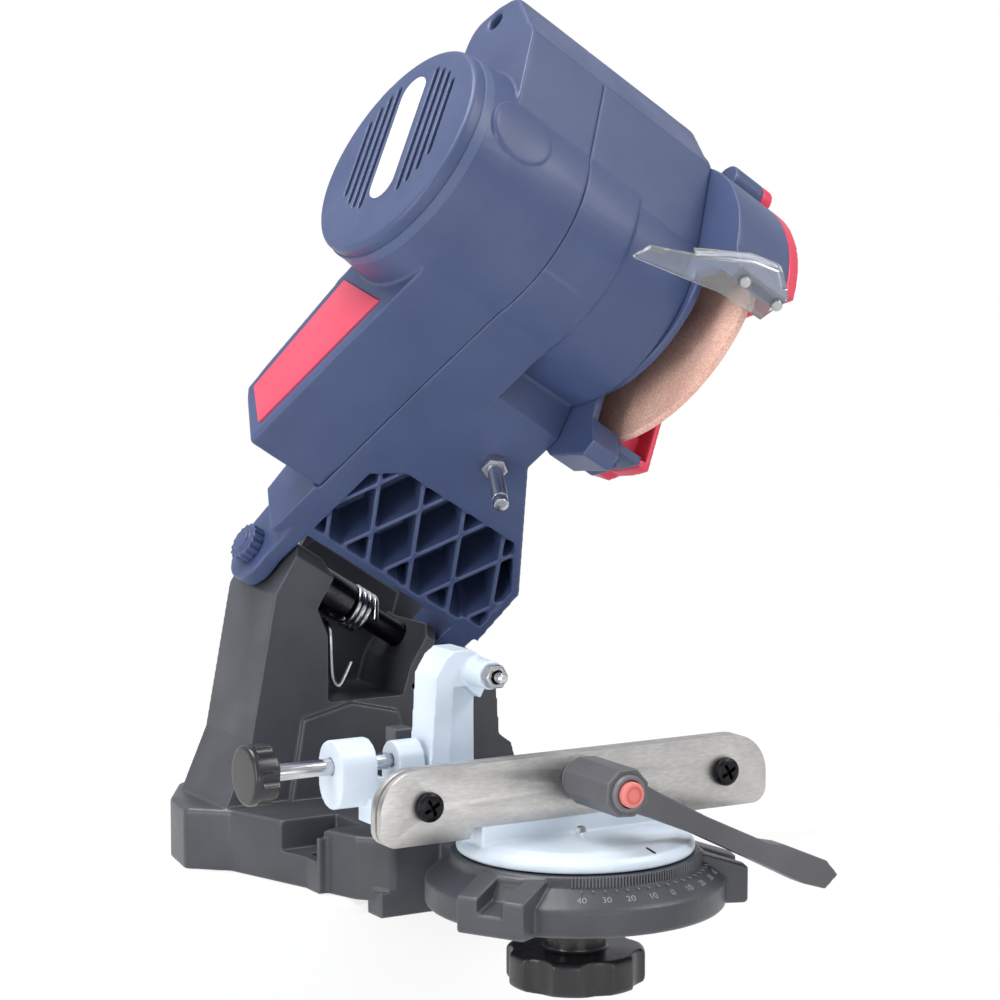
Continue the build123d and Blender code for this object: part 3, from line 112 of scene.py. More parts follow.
bench_edge_y = -0.0672
floor_z = -0.12
stage_mesh = bpy.data.meshes.new("bench_and_floor")
profile = [(bench_edge_y - 6.0, floor_z), (bench_edge_y - 0.02, floor_z), (bench_edge_y, floor_z)]
profile += [(bench_edge_y, -0.006), (bench_edge_y + 0.0009, -0.0022), (bench_edge_y + 0.003, -0.0006)]
profile += [(bench_edge_y + 0.006, -0.0002), (8.0, -0.0002)]
count = len(profile)
strips = [(i, i + 1, i + 1 + count, i + count) for i in reversed(range(count - 1))]
stage_mesh.from_pydata([(x, y, z) for x in (-8.0, 8.0) for y, z in profile], [], strips)
stage = linked("bench_and_floor", stage_mesh, paper_white)

world = bpy.data.worlds.new("studio")
bpy.context.scene.world = world
world.use_nodes = True
tree = world.node_tree
tree.nodes.clear()
seen = add(tree, "ShaderNodeLightPath")
either = add(tree, "ShaderNodeMath", {0: seen.outputs["Is Camera Ray"],
                                      1: seen.outputs["Is Transmission Ray"]}, operation="MAXIMUM")
ambient = add(tree, "ShaderNodeBackground", {"Color": linear("#f3f5fa"), "Strength": 0.66})
backdrop = add(tree, "ShaderNodeBackground", {"Color": linear("#ffffff"), "Strength": 1.0})
mixed = add(tree, "ShaderNodeMixShader", {0: either.outputs[0], 1: ambient.outputs[0],
                                          2: backdrop.outputs[0]})
add(tree, "ShaderNodeOutputWorld", {"Surface": mixed.outputs[0]})

for name, place, aim, width, height, power in (
        ("key_softbox", (0.75, -0.75, 1.0), (0.0, -0.03, 0.16), 0.6, 0.6, 7.5),
        ("top_softbox", (-0.35, 0.15, 1.2), (0.0, 0.0, 0.16), 0.7, 0.7, 13.0),
        ("left_strip", (-1.1, -0.35, 0.3), (0.0, -0.03, 0.14), 0.3, 0.9, 5.0),
        ("front_card", (-0.2, -1.3, 0.0), (0.0, -0.12, 0.1), 0.9, 0.35, 2.2)):
    lamp = bpy.data.lights.new(name, "AREA")
    lamp.shape = "RECTANGLE"
    lamp.size, lamp.size_y, lamp.energy = width, height, power
    softbox = bpy.data.objects.new(name, lamp)
    bpy.context.scene.collection.objects.link(softbox)
    softbox.location = place
    softbox.rotation_euler = (Vector(aim) - Vector(place)).to_track_quat("-Z", "Y").to_euler()


# ---------------------------------------------------------------- base moulding
# Glass-filled nylon, injection moulded in one piece: the foot, the tower with two posts
# and a back wall, and the round table of the vise. Its corners are softly rounded.
def merged(node_name):
    """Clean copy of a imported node's mesh with its doubles merged."""
    shape = bmesh.new()
    shape.from_mesh(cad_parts[node_name].data)
    bmesh.ops.remove_doubles(shape, verts=shape.verts, dist=2e-6)
    shape.verts.index_update()
    mesh = bpy.data.meshes.new(node_name + "_copy")
    mesh.from_pydata([v.co[:] for v in shape.verts], [], [[v.index for v in f.verts] for f in shape.faces])
    shape.free()
    return mesh


def settle(piece):
    """Turns a piece's modifiers into its plain mesh."""
    graph = bpy.context.evaluated_depsgraph_get()
    mesh = bpy.data.meshes.new_from_object(piece.evaluated_get(graph))
    piece.modifiers.clear()
    piece.data = mesh


def fitted(piece, body, slot, *nodes):
    """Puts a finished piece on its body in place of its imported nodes."""
    piece.data.name = piece.name
    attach(piece, body)
    if nodes:
        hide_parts(*nodes)
    return piece


def moulding(name, node_name, body, material, slot, skin, rounds, keep, turn=Matrix.Identity(4),
             swept=(), webs=()):
    """Moulded or cast piece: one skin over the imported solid, with its edges run out soft.
    Each swept part is a box in the piece's own frame whose edges get a larger radius.
    Each web is a box, in a frame of its own, that the skin takes in as well."""
    mesh = merged(node_name)
    mesh.transform(turn.inverted())
    shape = bmesh.new()
    shape.from_mesh(mesh)
    for stand, low, high in webs:
        middle, size = (Vector(low) + Vector(high)) / 2, Vector(high) - Vector(low)
        place = stand @ Matrix.Translation(middle) @ Matrix.Diagonal((*size, 1))
        bmesh.ops.create_cube(shape, matrix=place)
    shape.to_mesh(mesh)
    shape.free()
    piece = linked(name, mesh, material)
    remesh = piece.modifiers.new("skin", "REMESH")
    remesh.mode, remesh.voxel_size = "VOXEL", skin
    remesh.use_smooth_shade = True
    soften = piece.modifiers.new("soften", "SMOOTH")
    soften.factor, soften.iterations = 0.5, rounds
    fade, levels_in_all = 0.004, 8
    for low, high, extra in swept:
        settle(piece)
        places = np.empty(len(piece.data.vertices) * 3)
        piece.data.vertices.foreach_get("co", places)
        places = places.reshape(-1, 3)
        outside = np.maximum(np.maximum(np.array(low) - places, places - np.array(high)), 0).max(axis=1)
        levels = np.clip(np.round(levels_in_all * (1 - outside / fade)), 0, levels_in_all)
        group = piece.vertex_groups.new(name="swept")
        for level in range(1, levels_in_all + 1):
            group.add(np.nonzero(levels == level)[0].tolist(), level / levels_in_all, "REPLACE")
        soften = piece.modifiers.new("swept", "SMOOTH")
        soften.factor, soften.iterations, soften.vertex_group = 0.5, extra, group.name
    thin = piece.modifiers.new("thin", "DECIMATE")
    thin.ratio = keep
    settle(piece)
    piece.vertex_groups.clear()
    piece.data.transform(turn)
    piece.data.materials.clear()
    piece.data.materials.append(material)
    for face in piece.data.polygons:
        face.use_smooth = True
    return fitted(piece, body, slot, node_name)


def moulded_plastic(name, colour, second_tone, grain, roughness, relief):
    """Textured thermoplastic: a spark-eroded grain, slight clouding toward the second tone, and a painted
    highlight in that tone along the convex edges.
    """
    material, tree = new_material(name)
    place = add(tree, "ShaderNodeTexCoord").outputs["Object"]
    pebble = add(tree, "ShaderNodeTexNoise", {"Vector": place, "Scale": 1 / grain, "Detail": 2.5})
    cloud = add(tree, "ShaderNodeTexNoise", {"Vector": place, "Scale": 38.0, "Detail": 4.0})
    edges = add(tree, "ShaderNodeNewGeometry").outputs["Pointiness"]
    # Convex edges are mixed toward the lighter second tone: a painted highlight along the edges.
    edge_highlight = add(tree, "ShaderNodeMapRange", {"Value": edges, "From Min": 0.51, "From Max": 0.58,
                                              "To Max": 0.35})
    lighter = add(tree, "ShaderNodeMapRange", {"Value": cloud.outputs["Fac"], "From Min": 0.3,
                                               "From Max": 0.75, "To Max": 0.16})
    share = add(tree, "ShaderNodeMath", {0: edge_highlight.outputs[0], 1: lighter.outputs[0]}, operation="ADD")
    tint = add(tree, "ShaderNodeMix", {0: share.outputs[0], 6: linear(colour), 7: linear(second_tone)},
               data_type="RGBA")
    gloss = add(tree, "ShaderNodeMapRange", {"Value": cloud.outputs["Fac"], "From Min": 0.3, "From Max": 0.7,
                                             "To Min": roughness + 0.05, "To Max": roughness - 0.05})
    bump = add(tree, "ShaderNodeBump", {"Height": pebble.outputs["Fac"], "Strength": relief,
                                        "Distance": 0.00012})
    shader = add(tree, "ShaderNodeBsdfPrincipled", {"Base Color": tint.outputs[2], "IOR": 1.5,
                                                    "Roughness": gloss.outputs[0],
                                                    "Normal": bump.outputs[0]})
    add(tree, "ShaderNodeOutputMaterial", {"Surface": shader.outputs[0]})
    return material


slope, table_y = radians(32), -0.143
charcoal = moulded_plastic("charcoal_glass_filled_nylon", "#36383d", "#77787e", 0.0006, 0.38, 0.4)
tower_stand = Matrix.Rotation(slope, 4, "Y")
wall_top = tower_stand, (-0.079, 0.0395, 0.080), (-0.010, 0.0428, 0.0992)
moulding("base_moulding", "base_shell", "base", charcoal, "charcoal_plastic", 0.0006, 3, 0.15,
         webs=[wall_top])

# ---------------------------------------------------------------- swivel scale
# Fine ribs at 1.5 degrees stand on the wall of the table's ring, and plain numbers are
# pad printed on the slope below, so that the vise can be set to the chain's top angle.
swivel = Vector((0.0, table_y, 0.0))
ring_radius, ring_bottom, ring_top = 0.0446, 0.0256, 0.0290
scale_zero, scale_half, rib_step = radians(-79), 44, 1.5


def arc_row(name, radius, first, step, count, size, height, material, tilt=0.0):
    """Row of small bars that stand radially on an arc about the swivel axis."""
    tree = bpy.data.node_groups.new(name, "GeometryNodeTree")
    for socket, kind, value in (("Radius", "NodeSocketFloat", radius), ("First", "NodeSocketFloat", first),
                                ("Step", "NodeSocketFloat", step), ("Count", "NodeSocketInt", count),
                                ("Size", "NodeSocketVector", size), ("Height", "NodeSocketFloat", height),
                                ("Tilt", "NodeSocketFloat", tilt)):
        tree.interface.new_socket(socket, in_out="INPUT", socket_type=kind).default_value = value
    tree.interface.new_socket("Geometry", in_out="OUTPUT", socket_type="NodeSocketGeometry")
    sizes = add(tree, "NodeGroupInput").outputs
    index = add(tree, "GeometryNodeInputIndex").outputs[0]
    turned = add(tree, "ShaderNodeMath", {0: index, 1: sizes["Step"], 2: sizes["First"]},
                 operation="MULTIPLY_ADD").outputs[0]
    cosine = add(tree, "ShaderNodeMath", {0: turned}, operation="COSINE").outputs[0]
    sine = add(tree, "ShaderNodeMath", {0: turned}, operation="SINE").outputs[0]
    across = add(tree, "ShaderNodeMath", {0: cosine, 1: sizes["Radius"]}, operation="MULTIPLY").outputs[0]
    away = add(tree, "ShaderNodeMath", {0: sine, 1: sizes["Radius"]}, operation="MULTIPLY").outputs[0]
    spot = add(tree, "ShaderNodeCombineXYZ", {"X": across, "Y": away, "Z": sizes["Height"]})
    points = add(tree, "GeometryNodePoints", {"Count": sizes["Count"], "Position": spot.outputs[0]})
    bar = add(tree, "GeometryNodeMeshCube", {"Size": sizes["Size"]})
    facing = add(tree, "ShaderNodeCombineXYZ", {"Y": sizes["Tilt"], "Z": turned})
    placed = add(tree, "GeometryNodeInstanceOnPoints", {"Points": points.outputs[0],
                                                        "Instance": bar.outputs[0],
                                                        "Rotation": facing.outputs[0]})
    real = add(tree, "GeometryNodeRealizeInstances", {0: placed.outputs[0]})
    moved = add(tree, "GeometryNodeTransform", {"Geometry": real.outputs[0], "Translation": swivel})
    painted = add(tree, "GeometryNodeSetMaterial", {"Geometry": moved.outputs[0], "Material": material})
    add(tree, "NodeGroupOutput", {0: painted.outputs[0]})
    piece = linked(name, bpy.data.meshes.new(name))
    piece.modifiers.new("row", "NODES").node_group = tree
    settle(piece)
    return piece


pad_ink, tree = new_material("pale_pad_ink")
place = add(tree, "ShaderNodeTexCoord").outputs["Object"]
speckle = add(tree, "ShaderNodeTexNoise", {"Vector": place, "Scale": 2500.0, "Detail": 2.0})
patchy = add(tree, "ShaderNodeMapRange", {"Value": speckle.outputs["Fac"], "From Min": 0.35,
                                          "From Max": 0.65})
tint = add(tree, "ShaderNodeMix", {0: patchy.outputs[0], 6: linear("#6c6e72"), 7: linear("#8f9195")},
           data_type="RGBA")
shader = add(tree, "ShaderNodeBsdfPrincipled", {"Base Color": tint.outputs[2], "Roughness": 0.6})
add(tree, "ShaderNodeOutputMaterial", {"Surface": shader.outputs[0]})

rib_count = int(2 * scale_half / rib_step) + 1
ribs = arc_row("scale_ribs", ring_radius + 0.0001, scale_zero - radians(scale_half), radians(rib_step),
               rib_count, (0.0009, 0.0005, ring_top - ring_bottom), (ring_top + ring_bottom) / 2, charcoal)
fitted(ribs, "base", "charcoal_plastic")
last_mark, mark_step, mark_radius, mark_height = 40, 5, 0.0463, 0.02475
marks = arc_row("scale_marks", mark_radius, scale_zero - radians(last_mark), radians(mark_step),
                2 * last_mark // mark_step + 1, (0.0022, 0.00028, 0.0004), mark_height, pad_ink)
fitted(marks, "base", "charcoal_plastic")

cone_slope, number_radius, number_height = radians(33.7), 0.0496, 0.02232
numbers = bmesh.new()
for degrees in range(-last_mark, last_mark + 1, 2 * mark_step):
    writing = bpy.data.curves.new("number", "FONT")
    writing.body = str(abs(degrees))
    writing.size, writing.extrude = 0.0036, 0.00006
    writing.align_x, writing.align_y = "CENTER", "CENTER"
    text = bpy.data.objects.new("number", writing)
    bpy.context.scene.collection.objects.link(text)
    graph = bpy.context.evaluated_depsgraph_get()
    letters = bpy.data.meshes.new_from_object(text.evaluated_get(graph))
    at = scale_zero + radians(degrees)
    outward = Vector((cos(at), sin(at), 0.0))
    reading = Vector((-sin(at), cos(at), 0.0))
    rising = outward * -cos(cone_slope) + Vector((0, 0, sin(cone_slope)))
    facing = outward * sin(cone_slope) + Vector((0, 0, cos(cone_slope)))
    spot = swivel + outward * number_radius + Vector((0, 0, number_height))
    stand = Matrix((reading, rising, facing)).transposed().to_4x4()
    letters.transform(Matrix.Translation(spot) @ stand)
    numbers.from_mesh(letters)
    bpy.data.objects.remove(text)
mesh = bpy.data.meshes.new("scale_numbers")
numbers.to_mesh(mesh)
numbers.free()
fitted(linked("scale_numbers", mesh, pad_ink), "base", "charcoal_plastic")


# ---------------------------------------------------------------- hinge shaft, sleeve and spring
# A blackened ground steel shaft crosses the two posts. A dark tube keeps the head off
# the left post, and a coil of music wire beside it carries the head's weight.
def metal(name, colour, bright, roughness, grain, relief, stretch=(1, 1, 1)):
    """Bare or plated metal: fine tool marks drawn along one way, and cloudy handling marks."""
    material, tree = new_material(name)
    place = add(tree, "ShaderNodeTexCoord").outputs["Object"]
    drawn = add(tree, "ShaderNodeMapping", {"Vector": place, "Scale": stretch})
    marks = add(tree, "ShaderNodeTexNoise", {"Vector": drawn.outputs[0], "Scale": 1 / grain, "Detail": 3.0})
    cloud = add(tree, "ShaderNodeTexNoise", {"Vector": place, "Scale": 55.0, "Detail": 5.0,
                                             "Roughness": 0.6})
    share = add(tree, "ShaderNodeMath", {0: marks.outputs["Fac"], 1: cloud.outputs["Fac"]},
                operation="MULTIPLY")
    spread = add(tree, "ShaderNodeMapRange", {"Value": share.outputs[0], "From Min": 0.12, "From Max": 0.4})
    tint = add(tree, "ShaderNodeMix", {0: spread.outputs[0], 6: linear(colour), 7: linear(bright)},
               data_type="RGBA")
    haze = add(tree, "ShaderNodeMapRange", {"Value": cloud.outputs["Fac"], "From Min": 0.3, "From Max": 0.7,
                                            "To Min": roughness - 0.06, "To Max": roughness + 0.08})
    bump = add(tree, "ShaderNodeBump", {"Height": marks.outputs["Fac"], "Strength": relief,
                                        "Distance": 0.00005})
    shader = add(tree, "ShaderNodeBsdfPrincipled", {"Base Color": tint.outputs[2], "Metallic": 1.0,
                                                    "Roughness": haze.outputs[0], "Normal": bump.outputs[0]})
    add(tree, "ShaderNodeOutputMaterial", {"Surface": shader.outputs[0]})
    return material


def eased(name, body, material, slot, width, *nodes, flat=1.0):
    """Machined or punched pieces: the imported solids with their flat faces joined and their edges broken."""
    shape = bmesh.new()
    for node in nodes:
        shape.from_mesh(merged(node))
    bmesh.ops.dissolve_limit(shape, angle_limit=radians(flat), verts=shape.verts, edges=shape.edges)
    mesh = bpy.data.meshes.new(name)
    shape.to_mesh(mesh)
    shape.free()
    piece = linked(name, mesh, material)
    bevel = piece.modifiers.new("edges", "BEVEL")
    bevel.width, bevel.segments, bevel.limit_method = width, 2, "ANGLE"
    bevel.angle_limit, bevel.harden_normals = radians(38), False
    bevel.use_clamp_overlap = True
    settle(piece)
    for face in piece.data.polygons:
        face.use_smooth = True
    piece.data.set_sharp_from_angle(angle=radians(32))
    return fitted(piece, body, slot, *nodes)


def wire(name, radius, places, material):
    """Round wire along a smooth line."""
    line = bpy.data.curves.new(name, "CURVE")
    line.dimensions, line.bevel_depth, line.bevel_resolution = "3D", radius, 4
    line.use_fill_caps, line.resolution_u = True, 3
    spline = line.splines.new("NURBS")
    spline.points.add(len(places) - 1)
    for point, place in zip(spline.points, places):
        point.co = (*place, 1)
    spline.order_u, spline.use_endpoint_u = 3, True
    piece = linked(name, line)
    graph = bpy.context.evaluated_depsgraph_get()
    mesh = bpy.data.meshes.new_from_object(piece.evaluated_get(graph))
    bpy.data.objects.remove(piece)
    return linked(name, mesh, material)


lift = radians(52.2)
along = Vector((cos(slope), 0, -sin(slope)))
square = Vector((sin(slope), 0, cos(slope)))
back = Vector((0, 1, 0))
hinge = back * 0.022 + square * 0.0785

black_steel = metal("black_oxide_steel", "#19191b", "#3b3b3e", 0.34, 0.0004, 0.15)
dark_tube = metal("burnished_dark_steel", "#2c2c30", "#5b5b60", 0.26, 0.0004, 0.1)
music_wire = metal("polished_music_wire", "#b9babd", "#e6e7e9", 0.2, 0.0003, 0.1)
eased("hinge_pin", "base", black_steel, "dark_steel", 0.0004, "hinge_shaft")
eased("hinge_tube", "base", dark_tube, "dark_steel", 0.0005, "spring_sleeve")

coil_radius, wire_radius, coil_pitch, coil_start = 0.0082, 0.0011, 0.0026, 0.0485
steps_a_turn, coil_steps, first_turn = 18, 62, radians(30)
turns = []
for step in range(coil_steps + 1):
    turn = first_turn + 2 * pi * step / steps_a_turn
    turns.append(hinge - along * (coil_start + coil_pitch * step / steps_a_turn)
                 + back * -cos(turn) * coil_radius + square * sin(turn) * coil_radius)
inner_leg = [turns[0] + (turns[0] - turns[1]).normalized() * reach for reach in (0.007, 0.003)]
coil_end = hinge - along * (coil_start + coil_pitch * coil_steps / steps_a_turn)
below = coil_end - along * 0.0025 - back * 0.001 - square * 0.0115
outer_leg = [coil_end - along * 0.001 + back * 0.0074 - square * 0.0072,
             coil_end - along * 0.0035 + back * 0.0045 - square * 0.0102, below]
outer_leg += [below + Vector((across, -0.001, fall)) for across, fall in (
    (0.0, -0.004), (0.0002, -0.0185), (0.0012, -0.0235),
    (0.0035, -0.0250), (0.0055, -0.0225), (0.0092, -0.0150))]
spring = wire("lift_spring", wire_radius, inner_leg + turns + outer_leg, music_wire)
fitted(spring, "base", "bright_steel", "return_spring")

# ---------------------------------------------------------------- vise casting
# Pressure die-cast aluminium with a pale blue-grey stove enamel: a turntable, the wall
# behind the rails and the bracket with the boss of the stop's screw.
enamel, tree = new_material("pale_stove_enamel")
place = add(tree, "ShaderNodeTexCoord").outputs["Object"]
peel = add(tree, "ShaderNodeTexNoise", {"Vector": place, "Scale": 900.0, "Detail": 1.5})
cloud = add(tree, "ShaderNodeTexNoise", {"Vector": place, "Scale": 45.0, "Detail": 4.0})
edges = add(tree, "ShaderNodeNewGeometry").outputs["Pointiness"]
# Convex edges are mixed toward near-white: a painted highlight along the enamel's edges.
enamel_edge_highlight = add(tree, "ShaderNodeMapRange", {"Value": edges, "From Min": 0.54, "From Max": 0.64,
                                           "To Max": 0.5})
cloudy = add(tree, "ShaderNodeMapRange", {"Value": cloud.outputs["Fac"], "From Min": 0.3, "From Max": 0.7})
tint = add(tree, "ShaderNodeMix", {0: cloudy.outputs[0], 6: linear("#c6d1dc"), 7: linear("#d4dee8")},
           data_type="RGBA")
edge = add(tree, "ShaderNodeMix", {0: enamel_edge_highlight.outputs[0], 6: tint.outputs[2], 7: linear("#edf2f6")},
           data_type="RGBA")
bump = add(tree, "ShaderNodeBump", {"Height": peel.outputs["Fac"], "Strength": 0.25, "Distance": 0.0001})
shader = add(tree, "ShaderNodeBsdfPrincipled", {"Base Color": edge.outputs[2], "Roughness": 0.36,
                                                "Coat Weight": 0.15, "Normal": bump.outputs[0]})
add(tree, "ShaderNodeOutputMaterial", {"Surface": shader.outputs[0]})
moulding("vise_casting", "vise_body", "vise", enamel, "light_casting", 0.0005, 3, 0.22)

disc_slope, index_radius, index_height = radians(15.4), 0.0385, 0.03495
index_line = arc_row("disc_index", index_radius, scale_zero, 0.0, 1, (0.0046, 0.0009, 0.0003), index_height,
                     black_steel, disc_slope)
fitted(index_line, "vise", "dark_steel")

# ---------------------------------------------------------------- rails
# Two punched plates of ground stainless steel with a chain's width between them. The
# grinding belt leaves fine lines along the plates, and the edges are deburred.
ground_steel = metal("ground_stainless_steel", "#bdbbb8", "#d3d1ce", 0.42, 0.0007, 0.2, (0.25, 1, 1))
eased("front_rail", "vise", ground_steel, "brushed_steel", 0.0005, "rail_front")
eased("rear_rail", "vise", ground_steel, "brushed_steel", 0.0005, "rail_back")
zinc = metal("zinc_plated_steel", "#9fa1a4", "#cfd1d4", 0.28, 0.0004, 0.15)
eased("spacer_rings", "vise", zinc, "bright_steel", 0.0002, "rail_spacers")
eased("rail_nuts_zinc", "vise", zinc, "bright_steel", 0.0003, "rail_nuts")
eased("clamp_nut_zinc", "vise", zinc, "bright_steel", 0.0003, "clamp_nut")
eased("turntable_stud", "vise", zinc, "bright_steel", 0.0004, "swivel_stud")


# Black M5 pan-head machine screws with a cross recess, rolled thread and a slightly
# domed head, fixed through both plates.
def cross_screw(name, head_radius, head_height, shank_radius, shank_length, wing):
    """Screw on the Z axis with its head above z=0: a domed head with a cross recess, and a ribbed shank."""
    shape, around, rings, pitch = bmesh.new(), 120, 44, shank_radius * 0.32
    circle = [(cos(2 * pi * s / around), sin(2 * pi * s / around)) for s in range(around)]
    rows = []
    for ring in range(rings, 0, -1):
        radius = head_radius * ring / rings
        row = []
        for across, away in circle:
            x, y = radius * across, radius * away
            dome = head_height * (0.45 + 0.55 * (1 - (radius / head_radius) ** 4) ** 0.5)
            inside = min(wing / 2 - min(abs(x), abs(y)), head_radius * 0.6 - radius)
            dome -= head_height * 0.6 * min(max(inside / (head_radius * 0.05), 0), 1)
            row.append(shape.verts.new((x, y, dome)))
        rows.append(row)
    centre = shape.verts.new((0, 0, head_height * 0.4))
    profile = [(head_radius, 0.0), (shank_radius, 0.0)]
    ribs = int(shank_length / pitch)
    for rib in range(ribs):
        profile += [(shank_radius, -pitch * (rib + 0.25)), (shank_radius * 0.86, -pitch * (rib + 0.75))]
    profile.append((shank_radius * 0.8, -shank_length))
    below = []
    for radius, z in profile:
        below.append([shape.verts.new((radius * x, radius * y, z)) for x, y in circle])
    end = shape.verts.new((0, 0, -shank_length))
    sides = [rows[0]] + below
    for upper, lower in zip(sides, sides[1:]):
        for s in range(around):
            t = (s + 1) % around
            shape.faces.new((upper[s], lower[s], lower[t], upper[t]))
    for outer, inner in zip(rows, rows[1:]):
        for s in range(around):
            t = (s + 1) % around
            shape.faces.new((outer[s], outer[t], inner[t], inner[s]))
    for s in range(around):
        t = (s + 1) % around
        shape.faces.new((rows[-1][s], rows[-1][t], centre))
        shape.faces.new((below[-1][t], below[-1][s], end))
    mesh = bpy.data.meshes.new(name)
    shape.to_mesh(mesh)
    shape.free()
    for face in mesh.polygons:
        face.use_smooth = True
    mesh.set_sharp_from_angle(angle=radians(40))
    template = bpy.data.objects.new(name, mesh)
    return template


def at_places(name, template, places, material):
    """Copies of a template at the given frames, instanced on points and made real."""
    seeds = bpy.data.meshes.new(name)
    seeds.from_pydata([place.to_translation()[:] for place in places], [], [])
    turns = seeds.attributes.new("turn", "FLOAT_VECTOR", "POINT")
    for value, place in zip(turns.data, places):
        value.vector = place.to_euler()[:]
    tree = bpy.data.node_groups.new(name, "GeometryNodeTree")
    tree.interface.new_socket("Places", in_out="INPUT", socket_type="NodeSocketGeometry")
    tree.interface.new_socket("Geometry", in_out="OUTPUT", socket_type="NodeSocketGeometry")
    shown = add(tree, "GeometryNodeObjectInfo", {"Object": template}, transform_space="ORIGINAL")
    turn = add(tree, "GeometryNodeInputNamedAttribute", {"Name": "turn"}, data_type="FLOAT_VECTOR")
    placed = add(tree, "GeometryNodeInstanceOnPoints", {"Points": add(tree, "NodeGroupInput").outputs[0],
                                                        "Instance": shown.outputs["Geometry"],
                                                        "Rotation": turn.outputs["Attribute"]})
    real = add(tree, "GeometryNodeRealizeInstances", {0: placed.outputs[0]})
    painted = add(tree, "GeometryNodeSetMaterial", {"Geometry": real.outputs[0], "Material": material})
    add(tree, "NodeGroupOutput", {0: painted.outputs[0]})
    piece = linked(name, seeds)
    piece.modifiers.new("places", "NODES").node_group = tree
    settle(piece)
    bpy.data.objects.remove(template)
    return piece


to_user = Matrix.Rotation(radians(90), 4, "X")
rail_face_y, rail_screw_x, rail_screw_z = -0.14675, 0.0614, 0.0513
template = cross_screw("rail_screw_shape", 0.0052, 0.0030, 0.0025, 0.0235, 0.0013)
stand = to_user @ Matrix.Rotation(radians(28), 4, "Z")
places = [Matrix.Translation((x, rail_face_y, rail_screw_z)) @ stand for x in (-rail_screw_x, rail_screw_x)]
screws = at_places("rail_screws_black", template, places, black_steel)
fitted(screws, "vise", "dark_steel", "rail_screws")

# ---------------------------------------------------------------- clamp lever
# A dark grey zinc casting, tumbled and painted: eight-sided hub, flat arm with a thumb
# pad. The rosy button in its nose frees the lever from the stud, so it can be set anew.
lever_paint = moulded_plastic("grey_painted_zinc", "#4c4c4f", "#8b8b8e", 0.0005, 0.44, 0.3)
moulding("lever_casting", "lever_handle", "lever", lever_paint, "lever_plastic", 0.0004, 4, 0.2)


def lathe(name, profile, place, axis, material, around=56):
    """Turned piece: a profile of (distance along the axis, radius) swept round it."""
    shape = bmesh.new()
    upright = Vector(axis).to_track_quat("Z", "Y").to_matrix()
    rows = []
    for distance, radius in profile:
        rows.append([shape.verts.new(Vector(place) + upright @ Vector(
            (radius * cos(2 * pi * s / around), radius * sin(2 * pi * s / around), distance)))
            for s in range(around)])
    for lower, upper in zip(rows, rows[1:]):
        for s in range(around):
            t = (s + 1) % around
            shape.faces.new((lower[s], lower[t], upper[t], upper[s]))
    shape.faces.new(rows[0][::-1])
    shape.faces.new(rows[-1])
    mesh = bpy.data.meshes.new(name)
    shape.to_mesh(mesh)
    shape.free()
    for face in mesh.polygons:
        face.use_smooth = True
    mesh.set_sharp_from_angle(angle=radians(35))
    return linked(name, mesh, material)


hub_middle = (-0.001, 0, 0.0555)
to_front = (0, -1, 0)
nose = lathe("lever_nose", [(0.1785, 0.0066), (0.1798, 0.0066), (0.1806, 0.0061), (0.1806, 0.0050),
                            (0.1785, 0.0049)], hub_middle, to_front, lever_paint)
fitted(nose, "lever", "lever_plastic")
neck = lathe("lever_neck", [(0.1469, 0.0030), (0.1469, 0.0070), (0.1476, 0.0074), (0.1482, 0.0070),
                            (0.1492, 0.0056), (0.1510, 0.0056), (0.1511, 0.0030)],
             hub_middle, to_front, lever_paint)
fitted(neck, "lever", "lever_plastic", "lever_collar")
eased("clamp_stud_zinc", "lever", zinc, "bright_steel", 0.0004, "clamp_stud")
button_red = moulded_plastic("rose_acetal", "#cf6660", "#e39a93", 0.0007, 0.42, 0.15)
button = lathe("release_button_rose", [(0.1750, 0.0045), (0.1822, 0.0045), (0.1828, 0.0040),
                                       (0.1830, 0.0032), (0.1826, 0.0030), (0.1826, 0.0024),
                                       (0.1829, 0.0021), (0.1830, 0.0002)],
               hub_middle, to_front, button_red)
fitted(button, "button", "button_red", "release_button")

# ---------------------------------------------------------------- lock knob
# Black phenolic hand knob with seven scallops round a brass insert, and a plated washer
# that bears on the table from below.
phenolic = moulded_plastic("black_phenolic", "#1b1b1d", "#4c4c50", 0.0008, 0.27, 0.15)
moulding("lock_knob_phenolic", "lock_knob", "knob", phenolic, "black_plastic", 0.0005, 5, 0.22)
brass = metal("turned_brass", "#b08d45", "#d8bd7c", 0.3, 0.0004, 0.2)
eased("knob_insert_brass", "knob", brass, "brass", 0.0002, "knob_insert")
eased("knob_washer_zinc", "knob", zinc, "bright_steel", 0.0002, "knob_washer")

# ---------------------------------------------------------------- chain stop
# The slider and the swinging stop are enamelled castings like the vise. An M6 bright
# steel rod with a black knob moves them, and a steel pin bears on the chain's cutter.
moulding("slider_casting", "stop_slider", "carriage", enamel, "light_casting", 0.0005, 3, 0.35)
moulding("stop_casting", "stop_arm", "stop", enamel, "light_casting", 0.0005, 4, 0.35)
bright_rod = metal("bright_drawn_steel", "#b4b5b7", "#e3e4e6", 0.2, 0.0004, 0.12, (0.05, 1, 1))
eased("adjuster_rod_bright", "adjuster", bright_rod, "bright_steel", 0.0004, "adjuster_rod")
moulding("adjuster_knob_phenolic", "adjuster_knob", "adjuster", phenolic, "black_plastic", 0.0003, 5, 0.25)
eased("stop_nuts_zinc", "stop", zinc, "bright_steel", 0.0003, "stop_nut")
pin_middle = (-0.0262, 0, 0.0913)
pin = lathe("stop_pin_steel", [(0.0970, 0.0022), (0.0975, 0.0025), (0.1262, 0.0025), (0.1266, 0.0019),
                               (0.1372, 0.0019), (0.1380, 0.0013)], pin_middle, to_front, bright_rod)
fitted(pin, "stop", "bright_steel", "stop_pin")

